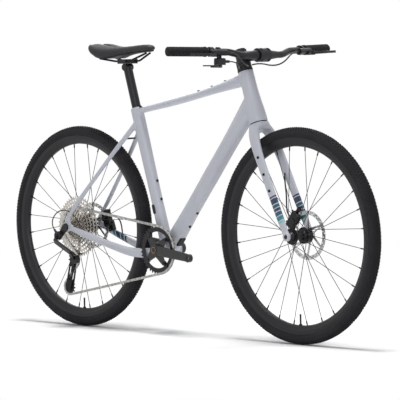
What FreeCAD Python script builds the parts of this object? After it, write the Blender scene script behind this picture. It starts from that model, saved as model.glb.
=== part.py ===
"""Flat-bar gravel bicycle as a parametric document, in millimetres.

+X points forward, +Y to the rider's left and +Z up. The origin lies on the ground midway
between the two axles. The drive side is the right side, at negative Y.
"""
import FreeCAD, Part
import math
import os
from types import SimpleNamespace

import Sketcher

Vec = FreeCAD.Vector
FORE = Vec(1, 0, 0)
LEFT = Vec(0, 1, 0)
UP = Vec(0, 0, 1)
RIGHT_SIDE = -1
LEFT_SIDE = 1
FULL_TURN = 360

SIZES = {
    "layout": {
        "wheelbase": 1058.0,
        "chainstay_length": 442.0,
        "bb_drop": 65.0,
        "head_angle": 71.5,
        "seat_angle": 73.5,
        "fork_length": 397.5,
        "fork_offset": 49.0,
        "head_tube_length": 178.0,
        "seat_tube_length": 499.0,
        "front_hub_width": 100.0,
        "rear_hub_width": 142.0,
    },
    "clearances": {
        "fit_gap": 0.05,
        "seat_gap": 0.1,
        "part_gap": 0.4,
        "cut_overrun": 6.0,
    },
    "tyre": {
        "bead_radius": 311.0,
        "tyre_height": 40.0,
        "tyre_shoulder_drop": 7.5,
        "tyre_shoulder_half": 14.5,
        "tyre_side_radius": 15.0,
        "tyre_bead_wall": 2.9,
        "tyre_crown_wall": 4.0,
    },
    "rim": {
        "rim_flange_height": 7.0,
        "rim_depth": 29.5,
        "rim_width": 29.0,
        "rim_hook": 2.5,
        "rim_well_depth": 3.0,
        "rim_well_width": 13.0,
        "rim_bed_width": 9.0,
        "rim_haunch_width": 19.0,
        "rim_haunch_height": 4.0,
        "rim_shoulder_height": 17.0,
        "rim_wall": 2.0,
        "valve_radius": 3.0,
        "valve_length": 36.0,
        "valve_nut_radius": 5.5,
        "valve_nut_height": 4.0,
    },
    "spokes": {
        "spoke_radius": 1.0,
        "nipple_radius": 2.2,
        "nipple_length": 13.0,
        "spoke_head_radius": 1.7,
        "spoke_rim_side": 2.0,
        "spoke_outer_stand": 5.0,
        "spoke_inner_stand": 3.1,
    },
    "hubs": {
        "axle_radius": 6.0,
        "flange_radius": 27.0,
        "flange_thickness": 2.6,
        "spoke_circle_radius": 23.0,
        "hub_waist_radius": 12.0,
        "hub_neck_radius": 15.5,
        "hub_cap_radius": 9.5,
        "hub_cap_length": 5.0,
        "front_right_flange": 32.0,
        "front_left_flange": 21.0,
        "rear_right_flange": 11.5,
        "rear_left_flange": 33.0,
        "spline_radius": 17.0,
        "front_axle_head_radius": 8.5,
        "front_axle_head_length": 3.0,
    },
    "rotor": {
        "rotor_radius": 80.0,
        "rotor_track": 13.0,
        "rotor_thickness": 1.8,
        "rotor_carrier_radius": 27.0,
        "rotor_arm_width": 7.0,
        "rotor_hole_radius": 2.4,
        "front_rotor_side": 39.5,
        "rear_rotor_side": 52.0,
    },
    "caliper": {
        "caliper_length": 58.0,
        "caliper_inner_radius": 60.0,
        "caliper_outer_radius": 94.0,
        "caliper_width": 20.0,
        "caliper_slot_half": 3.3,
        "caliper_roof_gap": 2.0,
        "caliper_foot_length": 17.0,
        "caliper_foot_inner_radius": 66.0,
        "caliper_foot_outer_radius": 90.0,
        "caliper_foot_reach": 17.0,
        "caliper_corner": 4.0,
        "pad_thickness": 1.8,
        "pad_length": 26.0,
        "pad_inner_radius": 65.0,
        "pad_outer_radius": 79.0,
        "caliper_bolt_radius": 3.4,
        "caliper_bolt_length": 7.0,
        "caliper_bolt_spread": 44.0,
        "rear_caliper_angle": 20.0,
        "front_caliper_angle": 143.0,
        "piston_cap_radius": 10.0,
        "piston_cap_height": 3.0,
    },
    "frame tubes": {
        "head_top_radius": 25.5,
        "head_waist_radius": 26.0,
        "head_base_radius": 31.5,
        "head_race_gap": 2.0,
        "head_bore_radius": 20.2,
        "down_tube_width": 53.0,
        "down_tube_height": 53.0,
        "down_tube_seat": 74.0,
        "down_tube_fore": 1.0,
        "down_tube_sink": 10.0,
        "top_tube_width": 38.0,
        "top_tube_height": 25.0,
        "top_tube_seat": 154.0,
        "top_tube_drop": 13.0,
        "top_tube_sag": 6.0,
        "seat_tube_width": 36.0,
        "seat_tube_depth": 43.0,
        "tube_wall": 2.5,
        "bb_shell_radius": 28.0,
        "bb_shell_half": 43.0,
        "bb_bore_radius": 21.0,
        "chainstay_width": 16.0,
        "chainstay_height": 30.0,
        "seatstay_width": 13.5,
        "seatstay_depth": 17.0,
        "seatstay_seat": 447.0,
        "seatstay_top_out": 13.0,
        "dropout_thickness": 6.5,
        "dropout_radius": 17.0,
        "dropout_stay_radius": 12.0,
        "dropout_fore": 24.0,
        "dropout_rise": 41.0,
        "bridge_radius": 3.0,
        "bridge_share": 0.17,
        "boss_radius": 5.6,
        "boss_rise": 0.8,
        "boss_depth": 8.0,
        "bolt_head_radius": 4.4,
        "bolt_head_height": 2.6,
        "bolt_shank_radius": 2.4,
        "bolt_shank_length": 7.0,
        "bolt_socket_radius": 2.0,
        "bolt_socket_depth": 1.6,
    },
    "hanger": {
        "hanger_thickness": 5.0,
        "hanger_eye_radius": 13.0,
        "hanger_bolt_radius": 10.0,
        "hanger_back": 28.0,
        "hanger_drop": 29.0,
        "hanger_thread_radius": 5.0,
    },
    "headset": {
        "lower_bearing_radius": 26.0,
        "upper_bearing_radius": 20.9,
        "bearing_height": 7.0,
        "cover_height": 12.0,
        "spacer_height": 9.0,
        "spacer_count": 2,
        "spacer_radius": 24.5,
        "spacer_edge": 1.2,
        "steerer_radius": 14.3,
        "steerer_base_radius": 19.5,
        "steerer_taper": 70.0,
        "top_cap_radius": 17.0,
        "top_cap_height": 4.0,
    },
    "fork": {
        "crown_radius": 31.0,
        "crown_depth": 27.0,
        "crown_half": 45.0,
        "crown_chord": 46.0,
        "leg_chord": 36.0,
        "leg_thickness": 15.5,
        "leg_spread": 56.0,
        "fork_tip_radius": 14.5,
        "fork_tip_thickness": 12.5,
    },
    "stem": {
        "stem_reach": 95.0,
        "stem_rise": 3.5,
        "stem_clamp_height": 40.0,
        "stem_clamp_radius": 20.5,
        "stem_body_width": 38.0,
        "stem_body_height": 34.0,
        "bar_clamp_radius": 22.5,
        "bar_clamp_width": 48.0,
        "faceplate_gap": 1.2,
        "stem_bolt_radius": 3.2,
        "stem_bolt_length": 4.0,
        "stem_bolt_rise": 17.0,
        "stem_bolt_spread": 15.0,
        "stem_lug_radius": 5.6,
    },
    "handlebar": {
        "bar_half": 362.5,
        "bar_back": 59.0,
        "bar_rise": 17.0,
        "bar_radius": 11.1,
        "bar_centre_radius": 15.9,
        "bar_centre_half": 30.0,
        "bar_taper_half": 70.0,
        "bar_bend_out": 92.0,
        "bar_knee_out": 140.0,
        "bar_knee_back": 15.0,
        "bar_knee_rise": 12.0,
        "bar_bend_radius": 75.0,
        "grip_length": 142.0,
        "grip_radius": 15.5,
        "grip_collar_radius": 16.5,
        "grip_collar_length": 8.0,
        "grip_cap_length": 4.0,
    },
    "brake lever": {
        "lever_clamp_inset": 160.0,
        "lever_clamp_width": 13.0,
        "lever_clamp_radius": 16.0,
        "master_fore": 26.0,
        "master_drop": 3.0,
        "master_radius": 9.5,
        "master_inner_inset": 205.0,
        "master_outer_inset": 142.0,
        "lever_pivot_inset": 148.0,
        "lever_pivot_fore": 44.0,
        "lever_drop": 9.0,
        "lever_thickness": 8.0,
        "lever_eye_radius": 6.5,
        "lever_knee_inset": 118.0,
        "lever_knee_fore": 57.0,
        "lever_knee_radius": 5.5,
        "lever_tip_inset": 50.0,
        "lever_tip_fore": 64.0,
        "lever_tip_radius": 5.0,
        "lever_lug_thickness": 3.0,
        "lever_pin_radius": 2.5,
        "hose_nut_radius": 4.0,
        "hose_nut_length": 9.0,
    },
    "shifter": {
        "shifter_inset": 188.0,
        "shifter_clamp_width": 9.0,
        "shifter_clamp_radius": 15.5,
        "shifter_fore": 12.0,
        "shifter_drop": 20.0,
        "shifter_radius": 19.0,
        "shifter_height": 22.0,
        "shifter_barrel_radius": 4.5,
        "shifter_barrel_length": 16.0,
        "paddle_thickness": 4.0,
        "paddle_pivot_radius": 8.0,
        "paddle_tip_radius": 6.5,
        "thumb_reach": 38.0,
        "thumb_back": 30.0,
        "release_reach": 36.0,
        "release_fore": 12.0,
    },
    "crank": {
        "crank_length": 172.5,
        "crank_angle": -6.7,
        "crank_axle_radius": 12.0,
        "crank_boss_radius": 20.0,
        "crank_inner": 51.0,
        "crank_outer": 65.5,
        "crank_end_radius": 14.0,
        "crank_end_inner": 60.0,
        "crank_end_outer": 72.5,
        "left_crank_inner": 47.5,
        "crank_mid_width": 36.0,
        "crank_tip_width": 27.0,
        "pedal_thread_radius": 7.1,
        "axle_cap_radius": 11.0,
        "axle_cap_height": 2.0,
        "cup_flange_radius": 25.0,
        "cup_flange_height": 2.8,
        "cup_depth": 12.0,
        "spider_radius": 55.0,
        "spider_arm_radius": 8.0,
        "spider_thickness": 4.5,
        "ring_bolt_radius": 5.0,
        "ring_bolt_height": 2.0,
    },
    "drivetrain": {
        "chain_pitch": 12.7,
        "roller_radius": 3.8,
        "tooth_rise": 2.8,
        "tooth_tip_half": 0.9,
        "tooth_play": 0.25,
        "chainline": 47.5,
        "ring_thickness": 1.9,
        "ring_inner_radius": 62.0,
        "cog_thickness": 1.8,
        "cog_pitch": 3.65,
        "first_cog_side": 20.0,
        "freehub_radius": 13.8,
        "cog_rim": 9.0,
        "spacer_ring_radius": 16.0,
        "plate_thickness": 0.7,
        "plate_radius": 4.0,
        "inner_plate_side": 1.3,
        "outer_plate_side": 2.05,
        "pin_radius": 1.7,
        "pulley_thickness": 2.0,
        "pulley_bolt_radius": 4.0,
        "pulley_hub_radius": 8.0,
    },
    "derailleur": {
        "cage_axis_fore": 13.0,
        "cage_axis_drop": 114.0,
        "guide_back": 27.0,
        "guide_drop": 5.0,
        "tension_back": 17.0,
        "tension_drop": 99.0,
        "cage_plate_thickness": 2.0,
        "cage_outer_side": 5.6,
        "cage_inner_side": 4.2,
        "cage_top_radius": 12.0,
        "cage_low_radius": 14.0,
        "knuckle_radius": 15.0,
        "knuckle_length": 22.0,
        "cage_shaft_radius": 5.0,
        "body_boss_radius": 15.0,
        "body_boss_length": 13.0,
        "body_bolt_radius": 6.0,
        "body_bolt_height": 2.0,
        "link_back": 14.0,
        "link_drop": 26.0,
        "link_thickness": 7.0,
        "link_eye_radius": 6.0,
        "ear_thickness": 3.5,
        "ear_post_radius": 6.0,
        "link_pin_radius": 2.5,
        "link_spread": 15.0,
        "link_cover_depth": 6.0,
        "knuckle_ear_fore": 4.0,
        "knuckle_ear_rise": 18.0,
        "barrel_angle": 45.0,
        "barrel_reach": 28.0,
        "barrel_radius": 4.0,
        "slant_back_share": 0.46,
        "slant_in_share": 0.69,
        "slant_down_share": 0.56,
    },
    "seatpost": {
        "post_radius": 15.45,
        "post_wall": 2.4,
        "post_insert": 125.0,
        "post_exposed": 145.0,
        "post_head_radius": 12.0,
        "post_head_length": 34.0,
        "wedge_bolt_radius": 3.0,
        "wedge_width": 10.0,
        "wedge_length": 8.5,
        "wedge_height": 15.0,
    },
    "saddle": {
        "saddle_length": 270.0,
        "saddle_width": 143.0,
        "saddle_nose_fore": 132.5,
        "saddle_rise": 33.5,
        "saddle_height": 49.0,
        "saddle_shell": 3.0,
        "rail_radius": 3.5,
        "rail_half": 22.0,
        "rail_level": 9.0,
        "rail_straight": 74.0,
        "rail_bend": 30.0,
        "cradle_length": 40.0,
        "cradle_radius": 6.5,
    },
    "hoses": {
        "hose_radius": 2.5,
        "cable_radius": 2.0,
    },
    "covers": {
        "mech_cover_radius": 5.5,
        "mech_cover_length": 22.0,
        "mech_cover_height": 2.4,
        "mech_cover_seat": 142.0,
        "mech_cover_back": 6.0,
        "port_cover_share": 0.895,
        "port_cover_length": 34.0,
        "port_cover_width": 26.0,
        "port_cover_height": 4.0,
    },
}

SPOKE_COUNT = 28
SPOKE_CROSSINGS = 2
COG_TEETH = (51, 45, 39, 33, 28, 24, 21, 18, 16, 14, 12, 10)
CHAIN_COG = 3
RING_TEETH = 40
PULLEY_TEETH = 13
SPIDER_ARMS = 4
CHAIN_STRAIGHT = 3
ROTOR_ARMS = 6
VALLEY_HALF_ANGLE = 100
CAGE_TURN_LIMIT = 18.0
ROTOR_HOLES = 24


class Cell:
    """A named size, or a sum of them, with the sheet expression that binds it."""

    def __init__(self, value, text):
        self.value = value
        self.text = text

    @staticmethod
    def word(other):
        """Return the expression of a cell or of a plain number."""
        return other.text if isinstance(other, Cell) else repr(float(other))

    def __float__(self):
        return self.value

    def __neg__(self):
        return Cell(-self.value, f"-({self.text})")

    def __add__(self, other):
        return Cell(self.value + float(other), f"({self.text} + {Cell.word(other)})")

    def __sub__(self, other):
        return Cell(self.value - float(other), f"({self.text} - {Cell.word(other)})")

    def __mul__(self, other):
        return Cell(self.value * float(other), f"({self.text} * {Cell.word(other)})")

    def __truediv__(self, other):
        return Cell(self.value / float(other), f"({self.text} / {Cell.word(other)})")


doc = FreeCAD.newDocument("gravel_bicycle")
sheet = doc.addObject("Spreadsheet::Sheet", "sizes")
table = {}
row = 0
for group, entries in SIZES.items():
    row += 1
    sheet.set(f"A{row}", group)
    for alias, number in entries.items():
        row += 1
        sheet.set(f"A{row}", alias)
        sheet.set(f"B{row}", str(number))
        sheet.setAlias(f"B{row}", alias)
        table[alias] = number
doc.recompute()

# The cells bind the document's objects, and the numbers feed what is worked out from them.
cell = SimpleNamespace(**{alias: Cell(float(sheet.get(alias)), f"sizes.{alias}") for alias in table})
size = SimpleNamespace(**{alias: float(sheet.get(alias)) for alias in table})
nodes = {}


def bind(obj, prop, value):
    """Tie a property to the sheet."""
    if isinstance(value, Cell):
        obj.setExpression(prop, value.text)
    else:
        setattr(obj, prop, value)


def add_node(label, obj):
    """Register an object as a sub-part under its label."""
    obj.Label = label
    nodes[label] = obj
    return obj


def shape_node(label, shape):
    """Register a worked-out shape as a sub-part."""
    obj = doc.addObject("Part::Feature", label)
    obj.Shape = shape
    obj.Placement = shape.Placement
    return add_node(label, obj)


def along(base, axis):
    """Return the placement that carries +Z onto an axis."""
    return FreeCAD.Placement(base, FreeCAD.Rotation(UP, axis))


def axes_placement(base, across, upward):
    """Return the placement with local X across and local Y upward."""
    outward = across.cross(upward)
    return FreeCAD.Placement(base, FreeCAD.Rotation(across, upward, outward, "ZXY"))


def cylinder(name, radius, height, base, axis):
    """Add a bound cylinder."""
    obj = doc.addObject("Part::Cylinder", name)
    bind(obj, "Radius", radius)
    bind(obj, "Height", height)
    obj.Placement = along(base, axis)
    return obj


def cut(name, base, tool):
    """Add a bound cut."""
    obj = doc.addObject("Part::Cut", name)
    obj.Base = base
    obj.Tool = tool
    return obj


def fuse(name, parts):
    """Add a bound fuse."""
    obj = doc.addObject("Part::MultiFuse", name)
    obj.Shapes = parts
    return obj


def group_of(name, parts):
    """Add a compound of separate solids."""
    obj = doc.addObject("Part::Compound", name)
    obj.Links = parts
    return obj


def ring(name, inner, outer, height, base, axis):
    """Add a bound ring."""
    bore_base = base - axis * size.cut_overrun
    body = cylinder(name + "_body", outer, height, base, axis)
    bore = cylinder(name + "_bore", inner, height + cell.cut_overrun * 2, bore_base, axis)
    return cut(name, body, bore)


def draw_outline(sketch, points, bows):
    """Draw a closed outline with bound corners, and arcs where a bow is given.

    Args:
        sketch: the sketch that receives the outline.
        points: pairs of cells, one pair per corner.
        bows: by index of the corner that an arc starts from, its radius and 1 for a short arc that
            bows to the right of the way or -1 for a long one that bows to the left.
    """
    corners = [Vec(float(a), float(b), 0) for a, b in points]
    count = len(corners)
    first = sketch.GeometryCount
    for index, start in enumerate(corners):
        stop = corners[(index + 1) % count]
        if index in bows:
            radius, side = bows[index]
            chord = stop - start
            half = chord.Length / 2
            rise = float(radius) - math.copysign(
                math.sqrt(max(float(radius) ** 2 - half ** 2, 0)), side)
            normal = Vec(chord.y, -chord.x, 0).normalize()
            middle = (start + stop) * 0.5 + normal * rise * math.copysign(1, side)
            sketch.addGeometry(Part.Arc(start, middle, stop), False)
        else:
            sketch.addGeometry(Part.LineSegment(start, stop), False)
    ends = []
    for index in range(count):
        forward = index not in bows or bows[index][1] > 0
        ends.append((1, 2) if forward else (2, 1))
    for index in range(count):
        after = (index + 1) % count
        sketch.addConstraint(Sketcher.Constraint(
            "Coincident", first + index, ends[index][1], first + after, ends[after][0]))
    for index, (a, b) in enumerate(points):
        for kind, value in (("DistanceX", a), ("DistanceY", b)):
            number = sketch.addConstraint(Sketcher.Constraint(
                kind, -1, 1, first + index, ends[index][0], float(value)))
            if isinstance(value, Cell):
                sketch.setExpression(f"Constraints[{number}]", value.text)
    for index, (radius, side) in bows.items():
        number = sketch.addConstraint(Sketcher.Constraint("Radius", first + index, float(radius)))
        sketch.setExpression(f"Constraints[{number}]", radius.text)


def new_sketch(body, name, role):
    """Attach a new sketch to one of the body's own planes."""
    sketch = body.newObject("Sketcher::SketchObject", name)
    plane = [item for item in body.Origin.OriginFeatures if item.Role == role][0]
    sketch.AttachmentSupport = [(plane, "")]
    sketch.MapMode = "FlatFace"
    return sketch


def turned(label, points, placement, hollows=(), bows=None):
    """Add a body turned about its own Y axis from pairs of radius and station.

    Args:
        label: the body's name.
        points: radius and station of each corner.
        placement: where the body stands.
        hollows: further closed outlines inside the first.
        bows: arcs of the outer outline.
    Returns:
        The body.
    """
    body = doc.addObject("PartDesign::Body", label)
    sketch = new_sketch(body, label + "_profile", "XY_Plane")
    draw_outline(sketch, points, bows or {})
    for hollow in hollows:
        draw_outline(sketch, hollow, {})
    revolution = body.newObject("PartDesign::Revolution", label + "_turn")
    revolution.Profile = sketch
    revolution.ReferenceAxis = (sketch, ["V_Axis"])
    revolution.Angle = FULL_TURN
    body.Tip = revolution
    body.Placement = placement
    return body


def slot_face(start, start_radius, stop, stop_radius):
    """Return the flat face round two circles, in the local XY plane."""
    gap = stop - start
    heading = math.atan2(gap.y, gap.x)
    lean = math.acos((start_radius - stop_radius) / gap.Length)

    def rim(centre, radius, angle):
        return centre + Vec(math.cos(angle), math.sin(angle), 0) * radius

    start_high = rim(start, start_radius, heading + lean)
    start_low = rim(start, start_radius, heading - lean)
    stop_high = rim(stop, stop_radius, heading + lean)
    stop_low = rim(stop, stop_radius, heading - lean)
    wire = Part.Wire([
        Part.LineSegment(start_low, stop_low).toShape(),
        Part.Arc(stop_low, rim(stop, stop_radius, heading), stop_high).toShape(),
        Part.LineSegment(stop_high, start_high).toShape(),
        Part.Arc(start_high, rim(start, start_radius, heading + math.pi), start_low).toShape(),
    ])
    return Part.Face(wire)


def slot(start, start_radius, stop, stop_radius, low, high):
    """Return a flat bar round two circles, between two heights of local Z."""
    face = slot_face(start, start_radius, stop, stop_radius)
    face.translate(Vec(0, 0, low))
    return face.extrude(Vec(0, 0, high - low))


def side_bar(start, start_radius, stop, stop_radius, inner, outer):
    """Return a bar that lies in a plane of constant Y, between two Y values."""
    bar = slot(Vec(start.x, start.z, 0), start_radius, Vec(stop.x, stop.z, 0), stop_radius, -outer, -inner)
    bar.Placement = axes_placement(Vec(0, 0, 0), FORE, UP)
    return bar


def side_disc(centre, radius, inner, outer):
    """Return a disc across Y, between two Y values."""
    return Part.makeCylinder(radius, outer - inner, Vec(centre.x, inner, centre.z), LEFT)


def oval(centre, across, upward, half_across, half_upward, fullness=2.3, points=16):
    """Return a closed, rounded section as one smooth wire."""
    corners = []
    for index in range(points):
        angle = 2 * math.pi * index / points
        cosine = math.cos(angle)
        sine = math.sin(angle)
        wide = math.copysign(abs(cosine) ** (2 / fullness), cosine) * half_across
        tall = math.copysign(abs(sine) ** (2 / fullness), sine) * half_upward
        corners.append(centre + across * wide + upward * tall)
    curve = Part.BSplineCurve()
    curve.interpolate(Points=corners, PeriodicFlag=True)
    return Part.Wire(curve.toShape())


def tube_through(stations, fullness=2.3):
    """Return a loft through oval stations (centre, across, upward, half widths)."""
    wires = [oval(*station, fullness=fullness) for station in stations]
    loft = Part.makeLoft(wires, True, False)
    if loft.Volume < 0:
        loft.reverse()
    return loft


def arc_route(points, radii):
    """Return a wire of straight runs joined by tangent arcs.

    Args:
        points: the corners of the route.
        radii: one radius per inner corner.
    Returns:
        The wire.
    """
    edges = []
    here = points[0]
    for index in range(1, len(points) - 1):
        before = (points[index - 1] - points[index]).normalize()
        after = (points[index + 1] - points[index]).normalize()
        turn = math.pi - before.getAngle(after)
        reach = radii[index - 1] * math.tan(turn / 2)
        start = points[index] + before * reach
        stop = points[index] + after * reach
        middle_way = (before + after).normalize()
        centre = points[index] + middle_way * (radii[index - 1] / math.cos(turn / 2))
        edges.append(Part.LineSegment(here, start).toShape())
        edges.append(Part.Arc(start, centre - middle_way * radii[index - 1], stop).toShape())
        here = stop
    edges.append(Part.LineSegment(here, points[-1]).toShape())
    return Part.Wire(edges)


def cord_radii(points):
    """Return the largest tangent radius that each inner corner of a route leaves room for."""
    run_share = 0.45
    radii = []
    for index in range(1, len(points) - 1):
        before = points[index - 1] - points[index]
        after = points[index + 1] - points[index]
        turn = math.pi - before.getAngle(after)
        radii.append(run_share * min(before.Length, after.Length) / math.tan(turn / 2))
    return radii


def swept(wire, radius):
    """Return a round tube along a wire."""
    start = wire.Edges[0]
    tangent = start.tangentAt(start.FirstParameter)
    circle = Part.Wire(Part.makeCircle(radius, start.valueAt(start.FirstParameter), tangent))
    return wire.makePipeShell([circle], True, True)


def hose(label, points, radius):
    """Return a hose along a held route, and print how well its volume fits."""
    radii = cord_radii(points)
    wire = arc_route(points, radii)
    shape = swept(wire, radius)
    fit = shape.Volume / (math.pi * radius ** 2 * wire.Length)
    print(label, "length", round(wire.Length, 1), "least radius", round(min(radii), 1), "fit", round(fit, 4))
    return shape


def mirrored(shape):
    """Return the left-hand twin of a right-hand shape."""
    return shape.mirror(Vec(0, 0, 0), LEFT)


# Places that the whole bicycle hangs on.
axle_level = size.bead_radius + size.tyre_height
rear_axle = Vec(-size.wheelbase / 2, 0, axle_level)
front_axle = Vec(size.wheelbase / 2, 0, axle_level)
bb = rear_axle + Vec(math.sqrt(size.chainstay_length ** 2 - size.bb_drop ** 2), 0, -size.bb_drop)
head_tilt = math.radians(size.head_angle)
seat_tilt = math.radians(size.seat_angle)
steer_up = Vec(-math.cos(head_tilt), 0, math.sin(head_tilt))
steer_fore = Vec(math.sin(head_tilt), 0, math.cos(head_tilt))
seat_up = Vec(-math.cos(seat_tilt), 0, math.sin(seat_tilt))
seat_fore = Vec(math.sin(seat_tilt), 0, math.cos(seat_tilt))
crown = front_axle + steer_up * size.fork_length - steer_fore * size.fork_offset
head_base = size.head_race_gap
head_top = head_base + size.head_tube_length


def steer_point(rise, fore=0.0, side=0.0):
    """Return a point measured from the crown along and across the steering axis."""
    return crown + steer_up * rise + steer_fore * fore + LEFT * side


def seat_point(rise, fore=0.0, side=0.0):
    """Return a point measured from the bottom bracket along and across the seat tube."""
    return bb + seat_up * rise + seat_fore * fore + LEFT * side


def make_tyre_and_rim(prefix, axle):
    """Add a tyre, a rim and a valve round an axle."""
    place = FreeCAD.Placement(axle, FreeCAD.Rotation())
    edge = cell.bead_radius + cell.rim_flange_height
    lip = edge + cell.part_gap
    bead = cell.bead_radius + cell.seat_gap
    bead_out = cell.rim_width / 2 - cell.rim_hook - cell.seat_gap
    bead_in = bead_out - cell.tyre_bead_wall
    crown_radius = cell.bead_radius + cell.tyre_height
    shoulder = crown_radius - cell.tyre_shoulder_drop
    half = cell.tyre_shoulder_half
    drop = cell.tyre_shoulder_drop
    crown_bow = (half * half + drop * drop) / (drop * 2)
    inner_rise = crown_radius - cell.tyre_crown_wall - lip
    inner_bow = (bead_in * bead_in + inner_rise * inner_rise) / (inner_rise * 2)
    tyre = turned(prefix + "_tyre", [
        (bead, -bead_out), (lip, -bead_out), (shoulder, -half), (shoulder, half), (lip, bead_out),
        (bead, bead_out), (bead, bead_in), (lip, bead_in), (lip, -bead_in), (bead, -bead_in),
    ], place, bows={1: (cell.tyre_side_radius, 1), 2: (crown_bow, 1), 3: (cell.tyre_side_radius, 1),
                    7: (inner_bow, -1)})
    add_node(prefix + "_tyre", tyre)
    half_width = cell.rim_width / 2
    hook = half_width - cell.rim_hook
    well = cell.rim_well_width / 2
    floor = cell.bead_radius - cell.rim_well_depth
    base = edge - cell.rim_depth
    bed = cell.rim_bed_width / 2
    haunch = cell.rim_haunch_width / 2
    low = base + cell.rim_haunch_height
    high = base + cell.rim_shoulder_height
    wall = cell.rim_wall
    ledge = well + cell.rim_well_depth
    rim = turned(prefix + "_rim", [
        (base, -bed), (low, -haunch), (high, -half_width), (edge, -half_width), (edge, -hook),
        (cell.bead_radius, -hook), (cell.bead_radius, -ledge), (floor, -well), (floor, well),
        (cell.bead_radius, ledge), (cell.bead_radius, hook), (edge, hook), (edge, half_width),
        (high, half_width), (low, haunch), (base, bed),
    ], place, hollows=[[
        (base + wall, -(bed - wall / 2)), (low + wall, -(haunch - wall)), (high, -(half_width - wall)),
        (floor - wall, -(half_width - wall)), (floor - wall, half_width - wall),
        (high, half_width - wall), (low + wall, haunch - wall), (base + wall, bed - wall / 2),
    ]])
    seat = float(base) - size.seat_gap
    stem = cylinder(prefix + "_valve_stem", cell.valve_radius, cell.valve_length, axle - UP * seat, UP)
    nut = cylinder(prefix + "_valve_nut", cell.valve_nut_radius, cell.valve_nut_height, axle - UP * seat, UP)
    valve = fuse(prefix + "_valve", [stem, nut])
    add_node(prefix + "_rim", group_of(prefix + "_rim_set", [rim, valve]))
    return seat


def make_spokes(prefix, axle, seat, right_flange, left_flange):
    """Add the crossed spokes with their nipples, from flange to rim."""
    per_side = SPOKE_COUNT // 2
    step = 2 * math.pi / per_side
    lace = step * SPOKE_CROSSINGS
    phase = -math.pi / 2 + step / 4
    solids = []
    for side, flange in ((RIGHT_SIDE, right_flange), (LEFT_SIDE, left_flange)):
        offset = phase + (step / 2 if side == LEFT_SIDE else 0)
        for index in range(per_side):
            leads = index % 2 == 0
            hub_angle = offset + index * step
            rim_angle = hub_angle + (lace if leads else -lace)
            stand = size.spoke_outer_stand if leads else -size.spoke_inner_stand
            start = axle + Vec(math.cos(hub_angle) * size.spoke_circle_radius, side * (flange + stand),
                               math.sin(hub_angle) * size.spoke_circle_radius)
            stop = axle + Vec(math.cos(rim_angle) * seat, side * size.spoke_rim_side,
                              math.sin(rim_angle) * seat)
            run = stop - start
            length = run.Length - size.part_gap
            shaft = Part.makeCylinder(size.spoke_radius, length, start, run)
            heading = Vec(run).normalize()
            nipple_base = start + heading * (length - size.nipple_length)
            nipple = Part.makeCylinder(size.nipple_radius, size.nipple_length, nipple_base, heading)
            head = Part.makeSphere(size.spoke_head_radius, start)
            elbow_length = abs(stand) - size.flange_thickness / 2 - size.seat_gap
            inward = LEFT * (-side if leads else side)
            elbow = Part.makeCylinder(size.spoke_radius, elbow_length, start, inward)
            solids.append(shaft.fuse([nipple, head, elbow]).removeSplitter())
    shape_node(prefix + "_spokes", Part.makeCompound(solids))


def make_hub(prefix, axle, width, right_flange, left_flange, rotor_side, right_neck):
    """Add a turned hub shell with two flanges and the rotor spline."""
    bore = cell.axle_radius + cell.fit_gap
    end = width / 2 - cell.seat_gap
    web = cell.flange_thickness / 2
    right_out = right_flange + web
    right_in = right_flange - web
    left_out = left_flange + web
    left_in = left_flange - web
    cap = end - cell.hub_cap_length
    spline_end = rotor_side + cell.rotor_thickness / 2
    hub = turned(prefix + "_hub", [
        (bore, -end if right_neck is None else -right_neck),
        (cell.hub_cap_radius, -end if right_neck is None else -right_neck),
        (cell.hub_cap_radius, -cap if right_neck is None else -right_neck + cell.seat_gap),
        (cell.hub_neck_radius, -right_out - cell.flange_thickness),
        (cell.hub_neck_radius, -right_out),
        (cell.flange_radius, -right_out), (cell.flange_radius, -right_in),
        (cell.hub_neck_radius, -right_in), (cell.hub_waist_radius, -right_in + cell.flange_thickness * 2),
        (cell.hub_waist_radius, left_in - cell.flange_thickness * 2), (cell.hub_neck_radius, left_in),
        (cell.flange_radius, left_in), (cell.flange_radius, left_out),
        (cell.hub_neck_radius, left_out), (cell.spline_radius, left_out + cell.flange_thickness),
        (cell.spline_radius, spline_end), (cell.hub_cap_radius, cap), (cell.hub_cap_radius, end),
        (bore, end),
    ], FreeCAD.Placement(axle, FreeCAD.Rotation()))
    add_node(prefix + "_hub", hub)


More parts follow.
